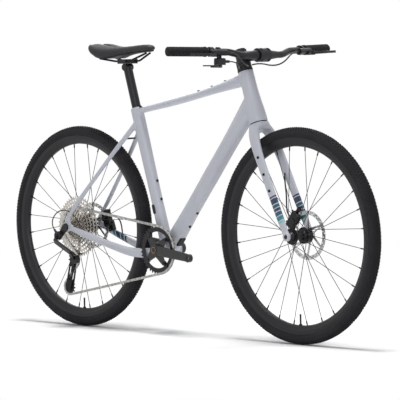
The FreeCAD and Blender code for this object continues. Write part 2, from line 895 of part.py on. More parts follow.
def make_rotor(prefix, axle, side):
    """Add a drilled brake disc on its carrier."""
    low = side - size.rotor_thickness / 2
    inner = size.rotor_radius - size.rotor_track
    bore = size.spline_radius + size.fit_gap
    rims = [Part.Wire(Part.makeCircle(size.rotor_radius)), Part.Wire(Part.makeCircle(inner))]
    hole_shares = (0.28, 0.72)
    twist_share = 0.8
    for index in range(ROTOR_HOLES):
        for share in hole_shares:
            angle = 2 * math.pi * (index + share * twist_share) / ROTOR_HOLES
            reach = inner + size.rotor_track * share
            spot = Vec(math.cos(angle) * reach, math.sin(angle) * reach, 0)
            rims.append(Part.Wire(Part.makeCircle(size.rotor_hole_radius, spot)))
    track = Part.makeFace(rims, "Part::FaceMakerBullseye").extrude(Vec(0, 0, size.rotor_thickness))
    carrier_rims = [Part.Wire(Part.makeCircle(size.rotor_carrier_radius)), Part.Wire(Part.makeCircle(bore))]
    carrier = Part.makeFace(carrier_rims, "Part::FaceMakerBullseye").extrude(Vec(0, 0, size.rotor_thickness))
    arms = []
    sweep_share = 0.55
    for index in range(ROTOR_ARMS):
        angle = 2 * math.pi * index / ROTOR_ARMS
        tip_angle = angle + sweep_share
        root = Vec(math.cos(angle), math.sin(angle), 0) * (size.rotor_carrier_radius - size.rotor_arm_width / 2)
        tip = Vec(math.cos(tip_angle), math.sin(tip_angle), 0) * (inner + size.rotor_arm_width / 3)
        arms.append(slot(root, size.rotor_arm_width / 2, tip, size.rotor_arm_width / 2, 0, size.rotor_thickness))
    bore_tool = Part.makeCylinder(bore, size.rotor_thickness)
    disc = track.fuse([carrier] + arms).cut(bore_tool).removeSplitter()
    disc.Placement = FreeCAD.Placement(axle + LEFT * low, FreeCAD.Rotation(UP, LEFT))
    shape_node(prefix + "_rotor", disc.Solids[0])


def make_wheel(prefix, axle, width, right_flange, left_flange, rotor_side, right_neck=None):
    """Add one complete wheel."""
    seat = make_tyre_and_rim(prefix, axle)
    make_hub(prefix, axle, width, right_flange, left_flange, rotor_side, right_neck)
    make_spokes(prefix, axle, seat, float(right_flange), float(left_flange))
    make_rotor(prefix, axle, float(rotor_side))


def make_caliper(prefix, axle, rotor_side, angle, carrier):
    """Add a two-piston caliper over the disc, its foot seated on a carrier shape."""
    heading = math.radians(angle)
    radial = Vec(math.cos(heading), 0, math.sin(heading))
    tangent = LEFT.cross(radial)
    low = rotor_side - size.caliper_width / 2

    def block(inner, outer, length, start, thickness, lead=0):
        base = axle + radial * inner + tangent * (lead - length / 2) + LEFT * start
        box = Part.makeBox(outer - inner, length, thickness)
        box.Placement = axes_placement(base, radial, tangent)
        if box.CenterOfMass.y < start:
            box.translate(LEFT * thickness)
        return box

    body = block(size.caliper_inner_radius, size.caliper_outer_radius, size.caliper_length, low,
                 size.caliper_width)
    body = body.makeFillet(size.caliper_corner, body.Edges)
    slot_tool = block(size.caliper_inner_radius - size.cut_overrun,
                      size.rotor_radius + size.caliper_roof_gap, size.caliper_length + size.cut_overrun,
                      rotor_side - size.caliper_slot_half, size.caliper_slot_half * 2)
    foot_start = rotor_side + size.caliper_slot_half
    foot_lead = size.caliper_length / 2
    foot = block(size.caliper_foot_inner_radius, size.caliper_foot_outer_radius, size.caliper_foot_length * 2,
                 foot_start, size.caliper_foot_reach - size.caliper_slot_half, foot_lead)
    body = body.cut(slot_tool).fuse(foot).removeSplitter().cut(carrier)
    solids = [max(body.Solids, key=lambda item: item.Volume)]
    pad_reach = size.rotor_thickness / 2 + size.part_gap
    for side in (-1, 1):
        start = rotor_side + (pad_reach if side > 0 else -pad_reach - size.pad_thickness)
        solids.append(block(size.pad_inner_radius, size.pad_outer_radius, size.pad_length, start,
                            size.pad_thickness))
        cap_base = axle + radial * ((size.pad_inner_radius + size.pad_outer_radius) / 2)
        reach = rotor_side + side * (size.caliper_width / 2 + size.seat_gap)
        solids.append(Part.makeCylinder(size.piston_cap_radius, size.piston_cap_height,
                                        cap_base + LEFT * reach, LEFT * side))
    bolt_shares = (-0.5, 0.5)
    for share in bolt_shares:
        base = axle + radial * (size.caliper_outer_radius + size.seat_gap)
        base = base + tangent * (share * size.caliper_bolt_spread) + LEFT * rotor_side
        solids.append(Part.makeCylinder(size.caliper_bolt_radius, size.caliper_bolt_length, base, radial))
    shape_node(prefix + "_caliper", Part.makeCompound(solids))


def bolt(base, axis):
    """Return a button-head bolt whose head sits on a base point, with its shank behind it."""
    heading = Vec(axis).normalize()
    head = Part.makeCylinder(size.bolt_head_radius, size.bolt_head_height, base, heading)
    shank = Part.makeCylinder(size.bolt_shank_radius, size.bolt_shank_length,
                              base - heading * size.bolt_shank_length, heading)
    socket = Part.makeCylinder(size.bolt_socket_radius, size.bolt_socket_depth,
                               base + heading * (size.bolt_head_height - size.bolt_socket_depth), heading)
    return head.fuse(shank).cut(socket)


def tube_station(start, stop, share, width, height, sag=0.0, side=0.0):
    """Return one oval station on a straight tube, with a sag below its line."""
    run = stop - start
    heading = Vec(run).normalize()
    upward = LEFT.cross(heading)
    if upward.z < 0:
        upward = upward * -1
    centre = start + run * share - upward * sag + LEFT * side
    return (centre, LEFT, upward, width / 2, height / 2)


# Stations of the tubes: place along the tube, then width and height as shares of the tube's own.
DOWN_TUBE_SHARES = ((0.0, 0.94, 1.3), (0.07, 0.96, 1.2), (0.2, 1.0, 1.02), (0.5, 1.0, 0.98),
                    (0.8, 1.06, 0.98), (0.93, 1.2, 1.0), (1.0, 1.24, 0.94))
TOP_TUBE_SHARES = ((0.0, 1.1, 1.85, 0.0), (0.08, 1.06, 1.6, 0.2), (0.25, 1.0, 1.12, 0.7),
                   (0.5, 0.98, 0.94, 1.0), (0.8, 0.96, 0.86, 0.6), (1.0, 0.96, 0.86, 0.0))
SEAT_TUBE_SHARES = ((0.0, 1.15, 1.1), (0.2, 1.0, 1.0), (0.6, 1.0, 0.98), (0.86, 1.06, 1.02), (1.0, 1.08, 1.0))
CHAINSTAY_SHARES = ((0.03, 0.34, -0.15, 1.0, 1.1), (0.12, 0.43, -0.19, 1.0, 1.12), (0.29, 0.56, -0.2, 1.02, 1.08),
                    (0.46, 0.68, 0.02, 1.02, 0.94), (0.64, 0.805, 0.34, 1.0, 0.84), (0.84, 0.94, 0.74, 0.86, 0.8),
                    (0.955, 1.0, 0.95, 0.26, 0.66))
SEATSTAY_SHARES = ((0.0, 0.0, 1.25, 1.3), (0.1, 0.14, 1.1, 1.1), (0.35, 0.47, 1.0, 0.95), (0.7, 0.82, 0.95, 0.9),
                   (0.93, 0.99, 0.7, 0.95), (1.0, 1.0, 0.34, 0.8))
LEG_SHARES = ((0.03, 0.0, 0.42, 1.25, 1.6), (0.1, 0.06, 0.66, 1.2, 1.55), (0.2, 0.15, 0.82, 1.1, 1.25),
              (0.4, 0.36, 0.905, 0.98, 1.0), (0.7, 0.68, 0.955, 0.86, 0.88), (0.93, 0.93, 0.985, 0.76, 0.76),
              (1.0, 1.0, 0.99, 0.66, 0.62))


def frame_tube_sets():
    """Return the outer tubes of the main triangle and the hollows inside them."""
    down_start = steer_point(size.down_tube_seat)
    down_stop = bb + Vec(size.down_tube_fore, 0, -size.down_tube_sink)
    top_start = steer_point(size.top_tube_seat)
    top_stop = seat_point(size.seat_tube_length - size.top_tube_drop)
    outer = []
    inner = []
    wall = 2 * size.tube_wall
    down = [tube_station(down_start, down_stop, share, size.down_tube_width * wide, size.down_tube_height * tall)
            for share, wide, tall in DOWN_TUBE_SHARES]
    outer.append(tube_through(down))
    hollow = [tube_station(down_start, down_stop, share, size.down_tube_width * wide - wall,
                           size.down_tube_height * tall - wall) for share, wide, tall in DOWN_TUBE_SHARES[2:5]]
    inner.append(tube_through(hollow))
    top = [tube_station(top_start, top_stop, share, size.top_tube_width * wide, size.top_tube_height * tall,
                        size.top_tube_sag * sag) for share, wide, tall, sag in TOP_TUBE_SHARES]
    outer.append(tube_through(top))
    hollow = [tube_station(top_start, top_stop, share, size.top_tube_width * wide - wall,
                           size.top_tube_height * tall - wall, size.top_tube_sag * sag)
              for share, wide, tall, sag in TOP_TUBE_SHARES[1:5]]
    inner.append(tube_through(hollow))
    seat = [tube_station(bb, seat_point(size.seat_tube_length), share, size.seat_tube_width * wide,
                         size.seat_tube_depth * deep) for share, wide, deep in SEAT_TUBE_SHARES]
    outer.append(tube_through(seat))
    return outer, inner


def head_tube():
    """Return the head tube, waisted between its two bearing seats."""
    waist_share = 0.55
    stations = []
    for rise, radius in ((head_base, size.head_base_radius),
                         (head_base + size.bearing_height * 2, size.head_base_radius),
                         (head_base + size.head_tube_length * waist_share, size.head_waist_radius),
                         (head_top - size.bearing_height, size.head_top_radius),
                         (head_top, size.head_top_radius)):
        stations.append((steer_point(rise), steer_fore, LEFT, radius, radius))
    return tube_through(stations, fullness=2)


dropout_inner = size.rear_hub_width / 2
dropout_outer = dropout_inner + size.dropout_thickness
dropout_mid = (dropout_inner + dropout_outer) / 2
stay_foot = rear_axle + Vec(size.dropout_fore, 0, -size.seat_gap)
DROPOUT_HEAD_SHARE = 0.7
stay_head = rear_axle + Vec(size.dropout_fore * DROPOUT_HEAD_SHARE, 0, size.dropout_rise)


def right_stays():
    """Return the right chainstay, seatstay and dropout plate as solids."""
    run = rear_axle.x - bb.x
    chain = []
    for along_share, out_share, rise_share, wide, tall in CHAINSTAY_SHARES:
        centre = Vec(bb.x + run * along_share, -dropout_mid * out_share, bb.z + size.bb_drop * rise_share)
        chain.append((centre, LEFT, UP, size.chainstay_width * wide / 2, size.chainstay_height * tall / 2))
    top = seat_point(size.seatstay_seat, 0, -size.seatstay_top_out)
    foot = stay_head + LEFT * -dropout_mid
    heading = Vec(foot - top)
    heading.y = 0
    heading.normalize()
    upward = LEFT.cross(heading)
    seat = []
    for along_share, out_share, wide, deep in SEATSTAY_SHARES:
        centre = top + (foot - top) * along_share
        centre.y = top.y + (foot.y - top.y) * out_share
        seat.append((centre, LEFT, upward, size.seatstay_width * wide / 2, size.seatstay_depth * deep / 2))
    plate_foot = side_bar(rear_axle, size.dropout_radius, stay_foot, size.dropout_stay_radius,
                          -dropout_outer, -dropout_inner)
    plate_head = side_bar(rear_axle, size.dropout_radius, stay_head,
                          size.dropout_stay_radius * DROPOUT_HEAD_SHARE, -dropout_outer, -dropout_inner)
    return [tube_through(chain), tube_through(seat), plate_foot.fuse(plate_head)]


# Bolt places: on the frame's faces, as a point outside the tube and the way its head looks.
def tube_surface_bolts(solid, spots):
    """Return boss solids, bolt solids and shank holes for spots aimed at a tube's surface."""
    probe_share = 0.1
    bosses = []
    bolts = []
    holes = []
    for base, axis in spots:
        heading = Vec(axis).normalize()
        ray = Part.makeLine(base + heading * size.wheelbase * probe_share, base)
        hit = ray.common(solid)
        points = [vertex.Point for vertex in hit.Vertexes]
        surface = max(points, key=lambda point: point.dot(heading))
        foot = surface - heading * size.boss_depth
        height = size.boss_depth + size.boss_rise
        bosses.append(Part.makeCylinder(size.boss_radius, height, foot, heading))
        seat = surface + heading * (size.boss_rise + size.seat_gap / 2)
        bolts.append(bolt(seat, heading))
        holes.append(Part.makeCylinder(size.bolt_shank_radius + size.fit_gap,
                                       size.bolt_shank_length + size.boss_rise + size.cut_overrun,
                                       seat - heading * (size.bolt_shank_length + size.seat_gap), heading))
    return bosses, bolts, holes


def wedge_box(gap, rise):
    """Return the block of the seat wedge or of its pocket."""
    base = seat_point(size.seat_tube_length - size.wedge_height + gap, size.post_radius - size.wedge_bolt_radius / 2,
                      -size.wedge_width / 2 + gap)
    box = Part.makeBox(size.wedge_length - gap, size.wedge_width - 2 * gap, size.wedge_height - gap + rise)
    box.Placement = axes_placement(base, seat_fore, LEFT)
    return box


def make_frame():
    """Add the frame with its bores, bosses and bolts."""
    outer, inner = frame_tube_sets()
    head = head_tube()
    shell = side_disc(bb, size.bb_shell_radius, -size.bb_shell_half, size.bb_shell_half)
    right = right_stays()
    left = [mirrored(item) for item in right]
    top_start = steer_point(size.top_tube_seat)
    top_stop = seat_point(size.seat_tube_length - size.top_tube_drop)
    top_run = top_stop - top_start
    top_normal = LEFT.cross(Vec(top_run).normalize())
    if top_normal.z < 0:
        top_normal = top_normal * -1
    down_start = steer_point(size.down_tube_seat)
    down_stop = bb + Vec(size.down_tube_fore, 0, -size.down_tube_sink)
    down_run = down_stop - down_start
    down_normal = LEFT.cross(Vec(down_run).normalize())
    if down_normal.z < 0:
        down_normal = down_normal * -1
    top_bolt_shares = (0.19, 0.31, 0.43)
    under_bolt_shares = (0.7, 0.79)
    bottle_bolt_shares = (0.42, 0.54)
    seat_bolt_shares = (0.34, 0.47)
    sets = [
        (outer[1], [(top_start + top_run * share, top_normal) for share in top_bolt_shares]),
        (outer[0], [(down_start + down_run * share, down_normal * -1) for share in under_bolt_shares]),
        (outer[0], [(down_start + down_run * share, down_normal) for share in bottle_bolt_shares]),
        (outer[2], [(seat_point(size.seat_tube_length * share), seat_fore) for share in seat_bolt_shares]),
    ]
    bosses = []
    bolts = []
    holes = []
    for solid, spots in sets:
        more = tube_surface_bolts(solid, spots)
        bosses += more[0]
        bolts += more[1]
        holes += more[2]
    hull = outer[0].fuse([outer[1], outer[2], head, shell] + right + left + bosses)
    post_bore_share = 0.56
    bore_length = size.seat_tube_length * post_bore_share
    tools = inner + holes + [
        side_disc(bb, size.bb_bore_radius, -size.bb_shell_half - size.cut_overrun,
                  size.bb_shell_half + size.cut_overrun),
        Part.makeCylinder(size.post_radius + size.fit_gap, bore_length + size.cut_overrun,
                          seat_point(size.seat_tube_length - bore_length), seat_up),
        Part.makeCylinder(size.head_bore_radius, size.head_tube_length + 2 * size.cut_overrun,
                          steer_point(head_base - size.cut_overrun), steer_up),
        Part.makeCylinder(size.lower_bearing_radius + size.fit_gap, size.bearing_height + size.cut_overrun,
                          steer_point(head_base - size.cut_overrun), steer_up),
        Part.makeCylinder(size.upper_bearing_radius + size.fit_gap, size.bearing_height + size.cut_overrun,
                          steer_point(head_top - size.bearing_height), steer_up),
        side_disc(rear_axle, size.axle_radius + size.fit_gap, -dropout_outer - size.cut_overrun,
                  dropout_outer + size.cut_overrun),
        Part.makeCylinder(size.seat_tube_depth, size.seat_tube_depth, seat_point(size.seat_tube_length), seat_up),
        wedge_box(0, size.cut_overrun),
    ]
    frame = hull.cut(tools)
    solids = sorted(frame.Solids, key=lambda item: item.Volume)
    print("frame solids", len(solids), "volume", round(frame.Volume))
    shape_node("frame", solids[-1])
    return bolts


def make_headset():
    """Add the bearings in the head tube and the stack of cover and spacers above it."""
    lower = ring("lower_bearing", cell.steerer_base_radius + cell.seat_gap, cell.lower_bearing_radius,
                 cell.bearing_height, steer_point(head_base), steer_up)
    upper = ring("upper_bearing", cell.steerer_radius + cell.seat_gap, cell.upper_bearing_radius,
                 cell.bearing_height, steer_point(head_top - size.bearing_height), steer_up)
    add_node("headset_bearings", group_of("headset_bearings", [lower, upper]))
    bore = cell.steerer_radius + cell.fit_gap
    stack = head_top + size.part_gap
    turn = FreeCAD.Rotation(LEFT, steer_up)
    edge = cell.spacer_edge
    cover = turned("headset_cover", [
        (bore, cell.cover_height * 0), (cell.head_top_radius, cell.cover_height * 0),
        (cell.head_top_radius, edge), (cell.spacer_radius, cell.cover_height), (bore, cell.cover_height),
    ], FreeCAD.Placement(steer_point(stack), turn))
    stack += size.cover_height + size.seat_gap
    parts = [cover]
    for index in range(int(size.spacer_count)):
        tall = cell.spacer_height
        parts.append(turned(f"spacer_{index}", [
            (bore, tall * 0), (cell.spacer_radius - edge, tall * 0), (cell.spacer_radius, edge),
            (cell.spacer_radius, tall - edge), (cell.spacer_radius - edge, tall), (bore, tall),
        ], FreeCAD.Placement(steer_point(stack), turn)))
        stack += size.spacer_height + size.seat_gap
    top = stack + size.stem_clamp_height + size.seat_gap
    parts.append(cylinder("top_cap", cell.top_cap_radius, cell.top_cap_height, steer_point(top), steer_up))
    add_node("headset_stack", group_of("headset_stack", parts))
    return stack


def leg_station(share_row, side):
    """Return one oval station of a fork leg."""
    down, fore, out, wide, thick = share_row
    centre = steer_point(-size.fork_length * down, size.fork_offset * fore, side * size.leg_spread * out)
    return (centre, steer_fore, LEFT, size.leg_chord * wide / 2, size.leg_thickness * thick / 2)


def make_fork(stem_top):
    """Add the fork with its steerer, crown, legs, tips and bosses."""
    shoulder_share = 0.45
    stations = [
        (steer_point(0), steer_fore, LEFT, size.crown_radius, size.crown_radius),
        (steer_point(-size.crown_depth * shoulder_share), steer_fore, LEFT, size.crown_radius,
         (size.crown_radius + size.crown_half) / 2),
        (steer_point(-size.crown_depth), steer_fore, LEFT, size.crown_chord / 2, size.crown_half),
    ]
    crown_block = tube_through(stations, fullness=2.1)
    solids = [crown_block]
    bosses = []
    bolts = []
    holes = []
    bolt_shares = (0.3, 0.45, 0.595)
    tip_in = size.front_hub_width / 2
    for side in (RIGHT_SIDE, LEFT_SIDE):
        leg = tube_through([leg_station(item, side) for item in LEG_SHARES])
        spots = []
        for share in bolt_shares:
            centre = steer_point(-size.fork_length * share, size.fork_offset * share, side * size.leg_spread)
            spots.append((centre, LEFT * side))
        more = tube_surface_bolts(leg, spots)
        bosses += more[0]
        bolts += more[1]
        holes += more[2]
        ends = sorted((side * tip_in, side * (tip_in + size.fork_tip_thickness)))
        solids += [leg, side_disc(front_axle, size.fork_tip_radius, *ends)]
    straight = Part.makeCylinder(size.steerer_radius, stem_top, steer_point(0), steer_up)
    taper = Part.makeCone(size.steerer_base_radius, size.steerer_radius, size.steerer_taper, steer_point(0), steer_up)
    shape = solids[0].fuse(solids[1:] + bosses + [straight, taper])
    far = tip_in + size.fork_tip_thickness + size.cut_overrun
    tools = holes + [side_disc(front_axle, size.axle_radius + size.fit_gap, -far, far)]
    fork = shape.cut(tools)
    print("fork solids", len(fork.Solids))
    shape_node("fork", fork.Solids[0])
    return bolts


def make_stem(stack):
    """Add the stem, faceplate, bolts and top cap; return the bar's centre."""
    middle = stack + size.stem_clamp_height / 2
    top = stack + size.stem_clamp_height
    heart = steer_point(middle)
    bar_centre = heart + Vec(size.stem_reach, 0, size.stem_rise)
    reach = Vec(bar_centre - heart).normalize()
    lift = LEFT.cross(reach) * -1
    body = tube_through([
        (heart, LEFT, lift, size.stem_clamp_radius, size.stem_body_height / 2),
        ((heart + bar_centre) / 2, LEFT, lift, size.stem_body_width / 2, size.stem_body_height / 2),
        (bar_centre, LEFT, lift, size.stem_body_width / 2, size.stem_body_height / 2),
    ])
    collar = Part.makeCylinder(size.stem_clamp_radius, size.stem_clamp_height, steer_point(stack), steer_up)
    width = size.bar_clamp_width
    barrel = Part.makeCylinder(size.bar_clamp_radius, width, bar_centre - LEFT * (width / 2), LEFT)
    lugs = []
    bolts = []
    pockets = []
    lug_length = size.stem_lug_radius * 2
    for side in (-1, 1):
        for level in (-1, 1):
            spot = bar_centre + LEFT * (side * size.stem_bolt_spread) + lift * (level * size.stem_bolt_rise)
            lugs.append(Part.makeCylinder(size.stem_lug_radius, lug_length * 2, spot - reach * lug_length, reach))
            seat = spot + reach * (lug_length + size.seat_gap)
            bolts.append(Part.makeCylinder(size.stem_bolt_radius, size.stem_bolt_length, seat, reach))
            pockets.append(Part.makeCylinder(size.stem_bolt_radius + size.part_gap, size.stem_reach,
                                             spot + reach * lug_length, reach))
    whole = body.fuse([collar, barrel] + lugs)
    far = size.stem_reach
    steer_bore = Part.makeCylinder(size.steerer_radius + size.fit_gap, size.stem_clamp_height + far,
                                   steer_point(stack - far / 2), steer_up)
    bar_bore = Part.makeCylinder(size.bar_centre_radius + size.fit_gap, far * 2, bar_centre - LEFT * far, LEFT)
    half_space = Part.makeBox(far, far * 2, far * 2)
    gap = size.faceplate_gap / 2
    corner = bar_centre - LEFT * far - lift * far
    front_box = half_space.copy()
    front_box.Placement = axes_placement(corner + reach * gap, reach, LEFT)
    slack = half_space.copy()
    slack.Placement = axes_placement(corner - reach * gap, reach, LEFT)
    trim_low = Part.makeCylinder(size.spacer_radius + size.part_gap, far, steer_point(stack), steer_up * -1)
    trim_high = Part.makeCylinder(size.stem_clamp_radius + size.seat_gap, far, steer_point(top), steer_up)
    stem = whole.cut([steer_bore, bar_bore, slack, trim_low, trim_high])
    if not stem.Solids:
        raise RuntimeError("the stem is empty")
    stem = max(stem.Solids, key=lambda item: item.Volume)
    face = max(whole.common(front_box).cut([bar_bore] + pockets).Solids, key=lambda item: item.Volume)
    shape_node("stem", stem)
    shape_node("stem_faceplate", face)
    pinch_shares = (0.25, 0.75)
    for share in pinch_shares:
        spot = steer_point(stack + size.stem_clamp_height * share, -size.stem_clamp_radius - size.stem_bolt_radius)
        seat = spot - LEFT * size.stem_bolt_length
        bolts.append(Part.makeCylinder(size.stem_bolt_radius, size.stem_bolt_length * 2, seat, LEFT))
    return bar_centre, bolts


def make_bar(centre):
    """Add the handlebar and its two grips; return the right end and its directions."""
    def mirror_point(point):
        return Vec(point.x, -point.y, point.z)

    bend = centre + Vec(0, -size.bar_bend_out, 0)
    knee = centre + Vec(-size.bar_knee_back, -size.bar_knee_out, size.bar_knee_rise)
    end = centre + Vec(-size.bar_back, -size.bar_half, size.bar_rise)
    points = [end, knee, bend, mirror_point(bend), mirror_point(knee), mirror_point(end)]
    radii = [size.bar_bend_radius] * (len(points) - 2)
    tube = swept(arc_route(points, radii), size.bar_radius)
    core = Part.makeCylinder(size.bar_centre_radius, size.bar_centre_half * 2,
                             centre - LEFT * size.bar_centre_half, LEFT)
    taper_length = size.bar_taper_half - size.bar_centre_half
    tapers = [Part.makeCone(size.bar_centre_radius, size.bar_radius, taper_length,
                            centre + LEFT * (side * size.bar_centre_half), LEFT * side) for side in (-1, 1)]
    shape_node("handlebar", tube.fuse([core] + tapers))
    out = Vec(end - knee).normalize()
    for label, tip, way in (("grip_right", end, out),
                            ("grip_left", mirror_point(end), mirror_point(out))):
        length = cell.grip_length
        inner = tip - way * size.grip_length
        sleeve = ring(label + "_sleeve", cell.bar_radius + cell.fit_gap, cell.grip_radius, length, inner, way)
        collar = ring(label + "_collar", cell.bar_radius + cell.fit_gap, cell.grip_collar_radius,
                      cell.grip_collar_length, inner, way)
        cap = cylinder(label + "_cap", cell.grip_radius, cell.grip_cap_length, tip + way * size.seat_gap / 2, way)
        skirt = ring(label + "_skirt", cell.bar_radius + cell.fit_gap, cell.grip_radius, cell.grip_cap_length,
                     tip - way * (size.grip_cap_length / 2), way)
        add_node(label, fuse(label, [sleeve, collar, skirt, cap]))
    fore = UP.cross(out).normalize()
    return end, out, fore


def make_controls(end, out, fore):
    """Add the brake masters and levers on both sides, and the shifter on the right."""
    place = axes_placement(end, out, fore)

    def stand(shape):
        shape.Placement = place.multiply(shape.Placement)
        return shape

    def pin(radius, inset, ahead, low, high):
        return Part.makeCylinder(radius, high - low, Vec(-inset, ahead, low), UP)

    def rod(radius, start_inset, stop_inset, ahead, level):
        return Part.makeCylinder(radius, start_inset - stop_inset, Vec(-start_inset, ahead, level), FORE)

    half = size.lever_thickness / 2
    low = -size.lever_drop - half
    high = -size.lever_drop + half
    pivot = Vec(-size.lever_pivot_inset, size.lever_pivot_fore, 0)
    knee = Vec(-size.lever_knee_inset, size.lever_knee_fore, 0)
    tip = Vec(-size.lever_tip_inset, size.lever_tip_fore, 0)
    lever = slot(pivot, size.lever_eye_radius, knee, size.lever_knee_radius, low, high)
    lever = lever.fuse(slot(knee, size.lever_knee_radius, tip, size.lever_tip_radius, low, high))
    bore = pin(size.lever_pin_radius + size.fit_gap, size.lever_pivot_inset, size.lever_pivot_fore,
               low - size.cut_overrun, high + size.cut_overrun)
    lever = lever.cut(bore).removeSplitter()
    lug_low = low - size.part_gap - size.lever_lug_thickness
    lug_high = high + size.part_gap + size.lever_lug_thickness
    root = Vec(-size.lever_clamp_inset, size.master_fore, 0)
    parts = []
    for start in (lug_low, high + size.part_gap):
        parts.append(slot(root, size.master_radius, pivot, size.lever_eye_radius, start,
                          start + size.lever_lug_thickness))
    parts.append(pin(size.lever_pin_radius, size.lever_pivot_inset, size.lever_pivot_fore, lug_low, lug_high))
    parts.append(rod(size.lever_clamp_radius, size.lever_clamp_inset + size.lever_clamp_width / 2,
                     size.lever_clamp_inset - size.lever_clamp_width / 2, 0, 0))
    web = Part.makeBox(size.lever_clamp_width, size.master_fore, size.master_radius,
                       Vec(-size.lever_clamp_inset - size.lever_clamp_width / 2, 0,
                           -size.master_drop - size.master_radius / 2))
    parts.append(web)
    parts.append(rod(size.hose_nut_radius, size.master_inner_inset + size.hose_nut_length,
                     size.master_inner_inset, size.master_fore, -size.master_drop))
    cylinder_rod = rod(size.master_radius, size.master_inner_inset, size.master_outer_inset, size.master_fore,
                       -size.master_drop)
    master = cylinder_rod.fuse(parts)
    bar_bore = rod(size.bar_radius + size.fit_gap, size.bar_half, 0, 0, 0)
    master = master.cut(bar_bore).removeSplitter()
    for shape, name in ((lever, "brake_lever"), (master, "brake_master")):
        solid = stand(max(shape.Solids, key=lambda item: item.Volume))
        shape_node(name + "_right", solid)
        shape_node(name + "_left", mirrored(solid))
    clamp = rod(size.shifter_clamp_radius, size.shifter_inset + size.shifter_clamp_width / 2,
                size.shifter_inset - size.shifter_clamp_width / 2, 0, 0)
    case_high = -size.shifter_drop
    case_low = case_high - size.shifter_height
    case = pin(size.shifter_radius, size.shifter_inset, size.shifter_fore, case_low, case_high)
    case = case.makeFillet(size.shifter_barrel_radius, case.Edges[:1])
    neck = Part.makeBox(size.shifter_clamp_width, size.shifter_clamp_radius, size.shifter_drop,
                        Vec(-size.shifter_inset - size.shifter_clamp_width / 2, 0,
                            -size.shifter_drop - size.boss_rise))
    barrel_inset = size.shifter_inset + size.shifter_radius
    barrel = rod(size.shifter_barrel_radius, barrel_inset + size.shifter_barrel_length,
                 size.shifter_inset, size.shifter_fore, (case_low + case_high) / 2)
    post_low = case_low - 2 * (size.part_gap + size.paddle_thickness) - size.part_gap
    post = pin(size.lever_pin_radius, size.shifter_inset, size.shifter_fore, post_low, case_high)
    body = case.fuse([clamp, neck, barrel, post]).cut(bar_bore).removeSplitter()
    shape_node("shifter_body", stand(max(body.Solids, key=lambda item: item.Volume)))
    hub = Vec(-size.shifter_inset, size.shifter_fore, 0)
    thumb_tip = hub + Vec(size.thumb_reach, -size.thumb_back, 0)
    release_tip = hub + Vec(size.release_reach, size.release_fore, 0)
    level = case_low
    hole = pin(size.lever_pin_radius + size.fit_gap, size.shifter_inset, size.shifter_fore,
               post_low - size.cut_overrun, case_high)
    for name, target in (("shift_thumb_lever", thumb_tip), ("shift_release_lever", release_tip)):
        level -= size.part_gap + size.paddle_thickness
        paddle = slot(hub, size.paddle_pivot_radius, target, size.paddle_tip_radius, level,
                      level + size.paddle_thickness)
        shape_node(name, stand(paddle.cut(hole)))

    def spot(inset, ahead, level):
        return place.multVec(Vec(-inset, ahead, level))

    hose_start = spot(size.master_inner_inset + size.hose_nut_length + size.part_gap, size.master_fore,
                      -size.master_drop)
    cable_start = spot(barrel_inset + size.shifter_barrel_length + size.part_gap, size.shifter_fore,
                       (case_low + case_high) / 2)
    return hose_start, cable_start


def sprocket_wire(teeth, phase):
    """Return the outline of a sprocket about the local origin, with a valley at the phase angle."""
    pitch_radius = size.chain_pitch / (2 * math.sin(math.pi / teeth))
    valley = size.roller_radius + size.tooth_play
    step = 2 * math.pi / teeth
    flank = math.radians(VALLEY_HALF_ANGLE)
    tip_radius = pitch_radius + size.tooth_rise
    tip_turn = size.tooth_tip_half / tip_radius
    edges = []
    points = []
    for index in range(teeth):
        angle = phase + index * step
        radial = Vec(math.cos(angle), math.sin(angle), 0)
        sideways = Vec(-radial.y, radial.x, 0)
        centre = radial * pitch_radius
        low = centre + (radial * math.cos(flank) - sideways * math.sin(flank)) * valley
        high = centre + (radial * math.cos(flank) + sideways * math.sin(flank)) * valley
        tip = angle + step / 2
        tip_low = Vec(math.cos(tip - tip_turn), math.sin(tip - tip_turn), 0) * tip_radius
        tip_high = Vec(math.cos(tip + tip_turn), math.sin(tip + tip_turn), 0) * tip_radius
        points.append((low, centre - radial * valley, high, tip_low, tip_high))
    for index, (low, bottom, high, tip_low, tip_high) in enumerate(points):
        following = points[(index + 1) % teeth][0]
        edges.append(Part.Arc(low, bottom, high).toShape())
        edges.append(Part.LineSegment(high, tip_low).toShape())
        edges.append(Part.LineSegment(tip_low, tip_high).toShape())
        edges.append(Part.LineSegment(tip_high, following).toShape())
    return Part.Wire(edges)


def window(inner, outer, middle, half_arm, count):
    """Return one lightening window between two arms of a sprocket or spider."""
    half_step = math.pi / count
    wires = []
    inner_turn = half_step - math.asin(half_arm / inner)
    outer_turn = half_step - math.asin(half_arm / outer)

    def rim(radius, turn):
        return Vec(math.cos(middle + turn), math.sin(middle + turn), 0) * radius

    wires.append(Part.Arc(rim(inner, -inner_turn), rim(inner, 0), rim(inner, inner_turn)).toShape())
    wires.append(Part.LineSegment(rim(inner, inner_turn), rim(outer, outer_turn)).toShape())
    wires.append(Part.Arc(rim(outer, outer_turn), rim(outer, 0), rim(outer, -outer_turn)).toShape())
    wires.append(Part.LineSegment(rim(outer, -outer_turn), rim(inner, -inner_turn)).toShape())
    return Part.Wire(wires)


def flat_wheel(wires, centre, middle_y, thickness):
    """Return a flat wheel in a plane of constant Y from its outer and inner wires."""
    face = Part.makeFace(wires, "Part::FaceMakerBullseye")
    solid = face.extrude(Vec(0, 0, thickness))
    base = Vec(centre.x, middle_y + thickness / 2, centre.z)
    solid.Placement = axes_placement(base, FORE, UP)
    return solid


def circle_wire(radius):
    """Return a circle about the local origin."""
    return Part.Wire(Part.makeCircle(radius))


def pitch_radius_of(teeth):
    """Return a sprocket's pitch radius."""
    return size.chain_pitch / (2 * math.sin(math.pi / teeth))


def cog_side(index):
    """Return the distance of a sprocket from the middle plane."""
    return size.first_cog_side + index * size.cog_pitch


